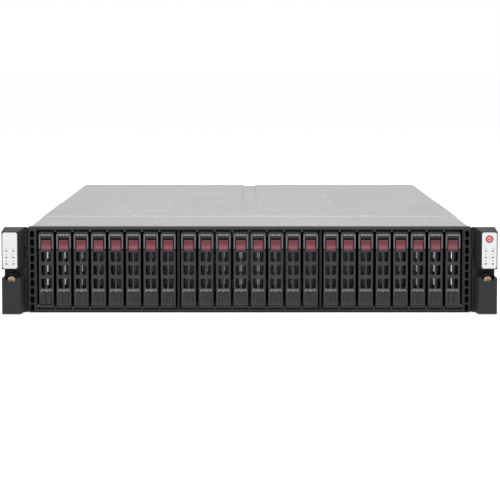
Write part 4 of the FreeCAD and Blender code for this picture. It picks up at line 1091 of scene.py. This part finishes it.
@dataclass
class Ears:
    """Rack ears with their grips, panel plates, lights, power button and captive screws."""

    light_spread: float = 3.45  # middle of a plate to a column of lights
    light_rows: Triple = (50.1, 56.4, 62.7)  # heights of the rows of lights
    light: Triple = (2.1, 1.2, 0.2)  # width, height and half depth of a light
    mark: Triple = (2.4, 0.9, 2.75)  # width, height and rise of the printed mark above a light
    mark_y: Pair = (-0.06, 0.1)  # front and back of a mark from the plate's face
    symbol: Triple = (1.7, 0.22, 0.02)  # radius, wire and rise of the ring on the power button
    bar: Triple = (0.25, 0.2, 2.1)  # half width, rise off the button and length of the bar in that ring
    head: Pair = (4.0, 14.0)  # radius and length of a screw's head
    collar: Triple = (6.2, 4.4, 0.5)  # radius, length and rounding of its collar
    waist_radius: float = 2.2  # radius of its waist
    thread: Triple = (2.5, 11.7, 0.6)  # radius, length and rounding of its threaded end
    knurls: int = 28  # number of ridges round the head
    knurl_share: float = 0.93  # radius between the ridges, as a share of the head's
    socket: Pair = (2.7, 5.0)  # radius of the round recess in a head, and twice its depth
    cross: Triple = (2.2, 0.5, 4.0)  # half length, half width and depth of the cross in a head

    def build(self) -> None:
        """Model and dress both ears."""
        for side in SIDES:
            redress(f"{side}_ear_housing", f"{side}_grip", EAR_PLASTIC, "chassis", Slot.BLACK_PLASTIC, 0.7, 3)
            node = f"{side}_thumbscrew"
            dress(self.screw(node, f"{side}_captive_screw"), SCREW_BRASS, node, Slot.SCREW_STEEL, node)
        redress("panel_plates", "white_plates", PANEL_WHITE, "chassis", Slot.PALE_PANEL, 0.3)
        redress("ear_brackets", "folded_brackets", POWDER_COAT, "chassis", Slot.BLACK_METAL, 0.4)
        self.panel_lights()
        self.power_symbol()

    def panel_lights(self) -> None:
        """Set small lights and printed marks on both plates."""
        face = corner("panel_plates")[0].y
        low, high = corner("power_button")
        spot = (low.x + high.x) / 2
        columns = [side * spot + column * self.light_spread for side in (-1, 1) for column in (-1, 1)]
        shifts = [(column, 0, row) for column in columns for row in self.light_rows]
        half, tall, deep = self.light[0] / 2, self.light[1] / 2, self.light[2]
        lens = block("lens", (-half, face - deep, -tall), (half, face + deep, tall))
        bevel_edges(lens, 0.5, 3, lambda edge: along(edge, Axis.Y))
        dress(scatter("panel_lights", soften(lens, 0.12), shifts), LENS, "chassis", Slot.PALE_PANEL)
        half, tall, rise = self.mark[0] / 2, self.mark[1] / 2, self.mark[2]
        front, back = self.mark_y
        mark = block("mark", (-half, face + front, rise - tall), (half, face + back, rise + tall))
        dress(scatter("panel_marks", soften(mark, 0.03, 1), shifts), INK, "chassis", Slot.PALE_PANEL)

    def power_symbol(self) -> None:
        """Round the power button's edge and set a pale ring with a bar on it."""
        redress("power_button", "power_cap", POWER_RED, "power_button", Slot.POWER_RED, 0.35, 3)
        low, high = corner("power_button")
        x, z = ((low + high) / 2).xz
        radius, wire, rise = self.symbol
        ring = wire_ring("power_ring", (x, low.y - rise, z), radius, wire)
        half, rise, long = self.bar
        bar = soften(block("bar", (x - half, low.y - rise, z), (x + half, low.y + LAP, z + long)), 0.1)
        dress(join("power_symbol", [ring, bar]), PANEL_WHITE, "power_button", Slot.PALE_PANEL)

    def screw(self, node: str, name: str) -> Piece:
        """Model a captive screw: knurled head with a cross recess, collar, waist and threaded end.

        Args:
            node: The node whose place it takes.
            name: Name of the piece.

        Returns:
            The screw.
        """
        low, high = corner(node)
        x, z = (low.x + high.x) / 2, (low.z + high.z) / 2
        radius, long = self.head
        head = rod("head", Axis.Y, (x, low.y + long / 2, z), radius, long, 2 * self.knurls)
        step = math.pi / self.knurls

        def groove(edge: Edge) -> bool:
            """Whether an edge is every second one along the head."""
            spot = middle(edge)
            return along(edge, Axis.Y) and round(math.atan2(spot.z - z, spot.x - x) / step) % 2 == 0

        with editing(head):
            pick(head, Element.EDGE, groove)
            share = (self.knurl_share, 1, self.knurl_share)
            bpy.ops.transform.resize(value=share, center_override=(x * MM, 0, z * MM))
        carve(head, rod("socket", Axis.Y, (x, low.y, z), *self.socket))
        arm, thin, deep = self.cross
        for wide, tall in ((arm, thin), (thin, arm)):
            carve(head, block("recess", (x - wide, low.y - PAST, z - tall), (x + wide, low.y + deep, z + tall)))
        soften(head, 0.15, 1)
        collar_y = low.y + long
        collar = turned(Axis.Y, (x, collar_y + self.collar[1] / 2, z), self.collar, 40)
        start, end = collar_y + self.collar[1] - LAP, high.y - self.thread[1]
        waist = turned(Axis.Y, (x, (start + end) / 2, z), (self.waist_radius, end - start + 2 * LAP, 0.1), 32)
        thread = turned(Axis.Y, (x, high.y - self.thread[1] / 2, z), self.thread, 32)
        shapes = {head: SCREW_BRASS, collar: EPOXY, waist: SCREW_BRASS, thread: SCREW_BRASS}
        for shape, finish in shapes.items():
            shape.data.materials.append(finish.material())
        return join(name, list(shapes))


@dataclass
class Covers:
    """Sheet-metal top and sides, with hems, screws and rivets.

    Places along Y are measured from the front frame's face. The sizes of the fasteners are their radius, length
    and rounding.
    """

    soft: float = 0.35  # rounding of the sheets' edges
    bend: float = 1.0  # outer radius of the middle cover's bent sides
    hem: Triple = (1.5, 3.0, 0.55)  # side inset, depth and height of the hem along the middle cover's front edge
    screw: Triple = (2.8, 0.6, 0.25)  # size of the front plate's screws
    cross: Pair = (1.4, 0.3)  # half length and half width of the cross in them
    screw_x: Row = (-182.0, -96.0, -9.0, 95.5, 181.5)  # their places across
    screw_y: Row = (35.0, 106.0)  # their places along
    rivet: Triple = (1.9, 0.8, 0.4)  # size of the rear plates' rivets
    rivet_x: float = 92.0  # their distance from the middle
    rivet_y: Row = (363.0, 471.0, 580.0)  # their places along
    stud: Triple = (2.2, 0.9, 0.3)  # size of the studs near the hem
    stud_spot: Pair = (121.0, 6.5)  # their distance from the middle and from the hem's edge
    pin: Triple = (1.5, 0.7, 0.25)  # size of the rivets in the sunk strip
    pin_y: Row = (380.0, 440.0, 500.0, 560.0, 620.0, 680.0)  # their places along
    flat: Triple = (2.6, 0.9, 0.3)  # size of the rivets at the sides
    flat_y: Row = (120.0, 260.0, 400.0, 540.0, 680.0)  # their places along

    def build(self) -> None:
        """Model and dress the covers, the tray and their fasteners."""
        for node, name in (("front_top_plate", "front_lid"), ("rear_covers", "rear_lids"), ("chassis_tray", "tray")):
            redress(node, name, SHEET_STEEL, "chassis", Slot.BARE_STEEL, self.soft)
        for node in ("cover_ledges", "rear_dividers"):
            coat(node, SHEET_STEEL)
        dress(self.mid_cover(), SHEET_STEEL, "mid_cover", Slot.BARE_STEEL, "mid_top_cover")
        self.fasteners()

    def mid_cover(self) -> Piece:
        """Model the middle cover as one folded sheet with a hem along its front edge.

        Returns:
            The cover.
        """
        low, high = corner("mid_top_cover")
        plate = corner("rear_covers")
        sheet = plate[1].z - plate[0].z
        cover = block("middle_lid", low, high)
        start = (low.x + sheet, low.y - PAST, low.z - PAST)
        carve(cover, block("inside", start, (high.x - sheet, high.y + PAST, high.z - sheet)))
        bevel_edges(cover, self.bend, 4, lambda edge: along(edge, Axis.Y) and middle(edge).z > high.z - NEAR)
        inset, deep, tall = self.hem
        hem = block("hem", (low.x + inset, low.y, high.z - 2 * LAP), (high.x - inset, low.y + deep, high.z + tall))
        return join("middle_lid", [soften(cover, 0.25), soften(hem, 0.2)])

    def fasteners(self) -> None:
        """Set the screws and rivets of the top and the sides."""
        top = (0, 0, TOP + LAP)
        head = turned(Axis.Z, top, self.screw)
        for wide, deep in (self.cross, self.cross[::-1]):
            carve(head, block("recess", (-wide, -deep, TOP + 2 * LAP), (wide, deep, TOP + 2 * PAST)))
        strip = (0, 0, corner("rear_dividers")[1].z + LAP)
        edge = corner("mid_top_cover")[0].y
        stud_x, stud_y = self.stud_spot
        screws = [(x, FRONT + y, 0) for x in self.screw_x for y in self.screw_y]
        rivets = [(side * self.rivet_x, FRONT + y, 0) for side in (-1, 1) for y in self.rivet_y]
        studs = [(side * stud_x, edge + stud_y, 0) for side in (-1, 1)]
        pins = [(0, FRONT + y, 0) for y in self.pin_y]
        rivet, stud = turned(Axis.Z, top, self.rivet, segments=3), turned(Axis.Z, top, self.stud)
        for name, pattern, places, finish, body in (
            ("front_lid_screws", head, screws, SHEET_STEEL, "chassis"),
            ("rear_lid_rivets", rivet, rivets, SCREW_ZINC, "chassis"),
            ("middle_lid_studs", stud, studs, SCREW_ZINC, "mid_cover"),
            ("strip_rivets", turned(Axis.Z, strip, self.pin, 20), pins, SCREW_ZINC, "chassis"),
        ):
            dress(scatter(name, pattern, places), finish, body, Slot.BARE_STEEL)
        flat = turned(Axis.X, (corner("chassis_tray")[1].x + LAP, 0, TOP / 2), self.flat)
        right = scatter("side_rivets", flat, [(0, FRONT + y, 0) for y in self.flat_y])
        dress_both(right, "side_rivets", SCREW_ZINC, "chassis", Slot.BARE_STEEL)


@dataclass
class PowerSupplies:
    """Power supplies with wire guard, fan, inlet pins, handle and light.

    Places are those of the right one, and along Y they are measured from the rear.
    """

    outlet: Triple = (58.25, 41.9, 24.0)  # middle of the round outlet across and up, and its radius
    guard_step: float = 5.0  # spacing of the guard's rings
    guard_rings: int = 4  # number of rings
    guard_gap: float = 1.0  # outlet's edge to the outer ring
    guard_y: Pair = (-1.0, -1.8)  # places of the rings and of the crossed wires
    wire: float = 0.6  # radius of the guard's wire
    blades: int = 7  # number of fan blades
    blade: Triple = (5.5, 0.5, 8.0)  # half width, half thickness and inner end of a blade
    blade_gap: float = 1.2  # tips of the blades to the outlet's edge
    blade_turn: float = math.radians(14)  # pitch of a blade
    hub: Triple = (9.0, 3.0, 0.6)  # radius, length and rounding of the fan's hub
    fan_y: float = -4.0  # middle of the fan
    inlet_x: Pair = (9.25, 36.45)  # sides of the inlet
    inlet_z: Pair = (9.5, 29.3)  # foot and top of the inlet
    inlet_y: Pair = (-14.9, 0.5)  # back and front of the inlet's shell
    inlet_room: Pair = (1.4, 4.0)  # inlet's sides to the room in its shell, and rounding of that room's top
    pins: tuple[Pair, ...] = ((-7.0, -2.5), (0.0, 2.5), (7.0, -2.5))  # contacts from the inlet's middle
    pin: Pair = (1.0, 2.0)  # half width and half height of a contact
    pin_y: Pair = (-13.6, -3.0)  # back and front of the contacts
    handle_y: float = 0.2  # where the handle begins
    light: Pair = (42.0, 12.5)  # place of the light across and up
    lens: Triple = (1.5, 0.8, 0.3)  # radius, length and rounding of the light

    def build(self) -> None:
        """Dress both cases, and model the right supply's fittings and mirror them to the left."""
        for node in (f"{side}_power_supply" for side in SIDES):
            case = soften(cad_copy(node, node.replace("power_supply", "supply_case")), 0.5)
            paint(case, (SHEET_STEEL, EAR_PLASTIC), lambda spot, _: int(spot.y > REAR + self.handle_y))
            dress(case, SHEET_STEEL, node, Slot.SUPPLY_CASE, node)
        lamp = turned(Axis.Y, (self.light[0], REAR + LAP, self.light[1]), self.lens, 20)
        for piece, kind, finish, slot in (
            (self.guard(), "guard", SCREW_ZINC, Slot.SUPPLY_CASE),
            (self.fan(), "fan", EPOXY, Slot.BLACK_PLASTIC),
            (self.inlet(), "inlet", EPOXY, Slot.BLACK_PLASTIC),
            (self.contacts(), "pins", SCREW_ZINC, Slot.SUPPLY_CASE),
            (lamp, "lamp", LENS, Slot.PALE_PANEL),
        ):
            dress_both(piece, f"supply_{kind}", finish, "{}_power_supply", slot)

    def guard(self) -> Piece:
        """Model the wire guard: rings joined by two crossed wires.

        Returns:
            The guard.
        """
        x, z, radius = self.outlet
        ring_y, cross_y = (REAR + y for y in self.guard_y)
        radii = [radius - self.guard_gap - step * self.guard_step for step in range(self.guard_rings)]
        shapes = [wire_ring("ring", (x, ring_y, z), size, self.wire) for size in radii]
        for turn in (math.pi / 4, -math.pi / 4):
            spoke = rod("spoke", Axis.Z, (0, 0, 0), self.wire, 2 * radius - self.guard_gap, 8)
            spoke.data.transform(Matrix.Translation(Vector((x, cross_y, z)) * MM) @ Matrix.Rotation(turn, 4, "Y"))
            shapes.append(spoke)
        return soften(join("guard", shapes), 0.1, 1)

    def fan(self) -> Piece:
        """Model the fan behind the guard: a hub with pitched blades.

        Returns:
            The fan.
        """
        x, z, radius = self.outlet
        centre = Vector((x, REAR + self.fan_y, z))
        half, thin, inner = self.blade
        shapes = [turned(Axis.Y, centre, self.hub, 32)]
        for index in range(self.blades):
            blade = soften(block("blade", (-half, -thin, inner), (half, thin, radius - self.blade_gap)), 0.3)
            round_hub = Matrix.Rotation(index * 2 * math.pi / self.blades, 4, "Y")
            pitched = Matrix.Rotation(self.blade_turn, 4, "Z")
            blade.data.transform(Matrix.Translation(centre * MM) @ round_hub @ pitched)
            shapes.append(blade)
        return join("fan", shapes)

    def inlet(self) -> Piece:
        """Model the inlet's plastic shell, open to the rear.

        Returns:
            The shell.
        """
        (left, right), (foot, top), (back, front) = self.inlet_x, self.inlet_z, self.inlet_y
        start = (left + CLEAR, REAR + back, foot + CLEAR)
        shell = block("inlet", start, (right - CLEAR, REAR + front, top - CLEAR))
        wall, rounding = self.inlet_room
        start = (left + wall, REAR + back + wall, foot + wall)
        room = block("room", start, (right - wall, REAR + 2 * PAST, top - wall))
        bevel_edges(room, rounding, 3, lambda edge: along(edge, Axis.Y) and middle(edge).z > top - wall - NEAR)
        return soften(carve(shell, room), 0.3)

    def contacts(self) -> Piece:
        """Model the three contact blades in the inlet.

        Returns:
            The blades as one piece.
        """
        half, tall = self.pin
        back, front = (REAR + y for y in self.pin_y)
        shapes = []
        for across, up in self.pins:
            x, z = sum(self.inlet_x) / 2 + across, sum(self.inlet_z) / 2 + up
            shapes.append(soften(block("blade", (x - half, back, z - tall), (x + half, front, z + tall)), 0.5))
        return join("pins", shapes)


@dataclass
class Canisters:
    """Controller canisters: trays, rear panels, levers, boards, ports and fans.

    Places along Y are measured from the front frame's face.
    """

    sink_y: Pair = (220.0, 308.0)  # front and back of the heat sink
    cage_y: float = 655.0  # where the port cages begin
    board_z: float = 9.1  # height of the board's upper face
    chip: Pair = (9.0, 2.2)  # half width and height of a chip
    chip_x: Row = (-32.0, 0.0, 32.0)  # columns of chips from the board's middle
    chip_y: Row = (490.0, 526.0, 562.0, 598.0, 634.0)  # rows of chips
    screw: Triple = (2.2, 0.9, 0.35)  # radius, length and rounding of a panel's screws
    screw_rise: float = 0.3  # how far the middle of a screw's head stands off the panel
    screw_slot: Pair = (1.4, 0.3)  # half length and half width of the slot in a screw's head
    screw_inset: float = 5.0  # edges of a panel to its screws
    screw_top: float = 46.0  # height of the upper screws

    def build(self) -> None:
        """Model and dress both canisters."""
        for side in SIDES:
            body = f"{side}_canister"
            redress(f"{body}_tray", f"{side}_sled", SHEET_STEEL, body, Slot.BARE_STEEL, 0.3)
            redress(f"{body}_panel", f"{side}_port_panel", SHEET_STEEL, body, Slot.BARE_STEEL, 0.25)
            lever = f"{body}_lever"
            redress(lever, f"{side}_pull_lever", EAR_PLASTIC, lever, Slot.BLACK_PLASTIC, 0.6, 3)
            self.board(side, body)
            self.panel_screws(side, body)
            redress(f"{side}_fan_frame", f"{side}_fan_case", EPOXY, body, Slot.BLACK_PLASTIC, 0.4)
            coat(f"{side}_fan_rotor", EPOXY)

    def board(self, side: str, body: str) -> None:
        """Dress a board, with metal on its heat sink and cages, and set chips on it.

        Args:
            side: Left or right.
            body: The body that the board moves with.
        """
        node = f"{body}_board"
        finishes = (BOARD, ALUMINIUM, SCREW_ZINC)

        def choose(spot: Vector, _: Vector) -> int:
            """Choose a face's finish by its place."""
            y = spot.y - FRONT
            sink = self.sink_y[0] < y < self.sink_y[1]
            metal = ALUMINIUM if sink else SCREW_ZINC if y > self.cage_y else BOARD
            return finishes.index(metal if spot.z > self.board_z + NEAR else BOARD)

        board = paint(soften(cad_copy(node, f"{side}_main_board"), 0.15, 1), finishes, choose)
        dress(board, BOARD, body, Slot.CIRCUIT_BOARD, node)
        low, high = corner(node)
        half, tall = self.chip
        chip = soften(block("chip", (-half, -half, self.board_z - LAP), (half, half, self.board_z + tall)), 0.4)
        places = [((low.x + high.x) / 2 + x, FRONT + y, 0) for x in self.chip_x for y in self.chip_y]
        dress(scatter(f"{side}_chips", chip, places), EPOXY, body, Slot.BLACK_PLASTIC)

    def panel_screws(self, side: str, body: str) -> None:
        """Set screws at both sides of a rear panel.

        Args:
            side: Left or right.
            body: The body that the panel moves with.
        """
        low, high = corner(f"{body}_tray")
        face, (half, thin) = REAR + self.screw_rise, self.screw_slot
        head = turned(Axis.Y, (0, face, 0), self.screw)
        carve(head, block("slot", (-half, face, -thin), (half, REAR + 2 * PAST, thin)))
        columns = (low.x + self.screw_inset, high.x - self.screw_inset)
        places = [(x, 0, z) for x in columns for z in (low.z + self.screw_inset, self.screw_top)]
        dress(scatter(f"{side}_panel_screws", head, places), SCREW_ZINC, body, Slot.BARE_STEEL)


def inner_boards() -> None:
    """Coat the boards and sockets between the drives and the modules."""
    for node, finish in (("midplane_board", BOARD), ("power_boards", BOARD), ("drive_sockets", EPOXY)):
        coat(node, finish)


@dataclass
class Studio:
    """Floor, light and camera."""

    camera_spot: Triple = (-1.25, -2407.8, 246.3)  # place of the camera
    tilt: float = 5.126  # how far it looks down, in degrees
    pan: float = -0.0464  # how far it looks to the left, in degrees
    lens: float = 151.27  # focal length
    view_end: float = 100.0  # how far it sees, in metres
    fill: float = 0.4  # strength of the even light from all round
    floor_span: float = 60.0  # side of the floor in metres
    floor_colour: str = "#f4f4f4"
    floor_glow: float = 0.62  # how much the floor adds to what it reflects, so that it is white to the eye
    # name, place, aim, side and power of each soft lamp, in metres and watts
    lamps: tuple[tuple[str, Triple, Triple, float, float], ...] = (
        ("front_softbox", (0.0, -2.6, 1.5), (0.0, -0.2, 0.05), 1.8, 42.0),
        ("overhead_softbox", (0.0, 0.3, 2.6), (0.0, 0.0, 0.0), 2.0, 8.0),
        ("rear_softbox", (0.0, 2.2, 2.2), (0.0, 0.3, 0.05), 1.6, 12.0),
    )

    def build(self) -> None:
        """Set up floor, light and camera."""
        bpy.context.scene.view_settings.view_transform = "Standard"
        self.floor()
        self.world()
        for name, spot, aim, side, power in self.lamps:
            self.lamp(name, Vector(spot), Vector(aim), side, power)
        self.camera()

    def seen(self, tree: Tree) -> Socket:
        """Add a switch that is one for camera, glossy and transmission rays.

        Args:
            tree: Node tree of the floor or the world.

        Returns:
            The switch.
        """
        rays = add_node(tree, "ShaderNodeLightPath", {}).outputs
        switch = rays["Is Camera Ray"]
        for kind in ("Is Glossy Ray", "Is Transmission Ray"):
            switch = add_node(tree, "ShaderNodeMath", {0: switch, 1: rays[kind]}, operation="MAXIMUM").outputs[0]
        return switch

    def floor(self) -> None:
        """Lay a pale floor that keeps the shadow and is white to the eye elsewhere."""
        bpy.ops.object.select_all(action="DESELECT")
        bpy.ops.mesh.primitive_plane_add(size=self.floor_span)
        floor = bpy.context.object
        floor.name = "studio_floor"
        material = bpy.data.materials.new("matt_white_vinyl_backdrop")
        material.use_nodes = True
        tree = material.node_tree
        tree.nodes.clear()
        matt = add_node(tree, "ShaderNodeBsdfDiffuse", {"Color": linear(self.floor_colour)})
        strength = add_node(tree, "ShaderNodeMath", {0: self.seen(tree), 1: self.floor_glow}, operation="MULTIPLY")
        glow = add_node(tree, "ShaderNodeEmission", {"Strength": strength.outputs[0]})
        both = add_node(tree, "ShaderNodeAddShader", {0: matt.outputs[0], 1: glow.outputs[0]})
        add_node(tree, "ShaderNodeOutputMaterial", {"Surface": both.outputs[0]})
        floor.data.materials.append(material)

    def world(self) -> None:
        """Make the surroundings white to the eye, and an even light of lower strength."""
        world = bpy.data.worlds.new("white_studio")
        bpy.context.scene.world = world
        world.use_nodes = True
        tree = world.node_tree
        strength = add_node(tree, "ShaderNodeMapRange", {"Value": self.seen(tree), "To Min": self.fill})
        sky = tree.nodes["Background"]
        sky.inputs["Color"].default_value = (1, 1, 1, 1)
        tree.links.new(strength.outputs["Result"], sky.inputs["Strength"])

    def lamp(self, name: str, spot: Vector, aim: Vector, side: float, power: float) -> None:
        """Hang a square soft lamp.

        Args:
            name: Name of the lamp.
            spot: Its place in metres.
            aim: What it points at.
            side: Its side in metres.
            power: Its power in watts.
        """
        light = bpy.data.lights.new(name, "AREA")
        light.size = side
        light.energy = power
        lamp = bpy.data.objects.new(name, light)
        lamp.location = spot
        lamp.rotation_euler = (aim - spot).to_track_quat("-Z", "Y").to_euler()
        bpy.context.scene.collection.objects.link(lamp)

    def camera(self) -> None:
        """Stand the camera where the photograph was taken from."""
        view = bpy.data.cameras.new("photo_camera")
        view.lens = self.lens
        view.sensor_fit = "HORIZONTAL"
        view.clip_end = self.view_end
        camera = bpy.data.objects.new("photo_camera", view)
        camera.location = Vector(self.camera_spot) * MM
        camera.rotation_euler = (math.radians(90 - self.tilt), 0, math.radians(self.pan))
        bpy.context.scene.collection.objects.link(camera)
        bpy.context.scene.camera = camera


def main() -> None:
    """Build the studio and every piece in order."""
    logging.basicConfig(level=logging.INFO, format="%(message)s")
    Studio().build()
    DriveRow().build()
    FrontFrame().build()
    Ears().build()
    Covers().build()
    PowerSupplies().build()
    Canisters().build()
    inner_boards()


if __name__ == "__main__":
    main()
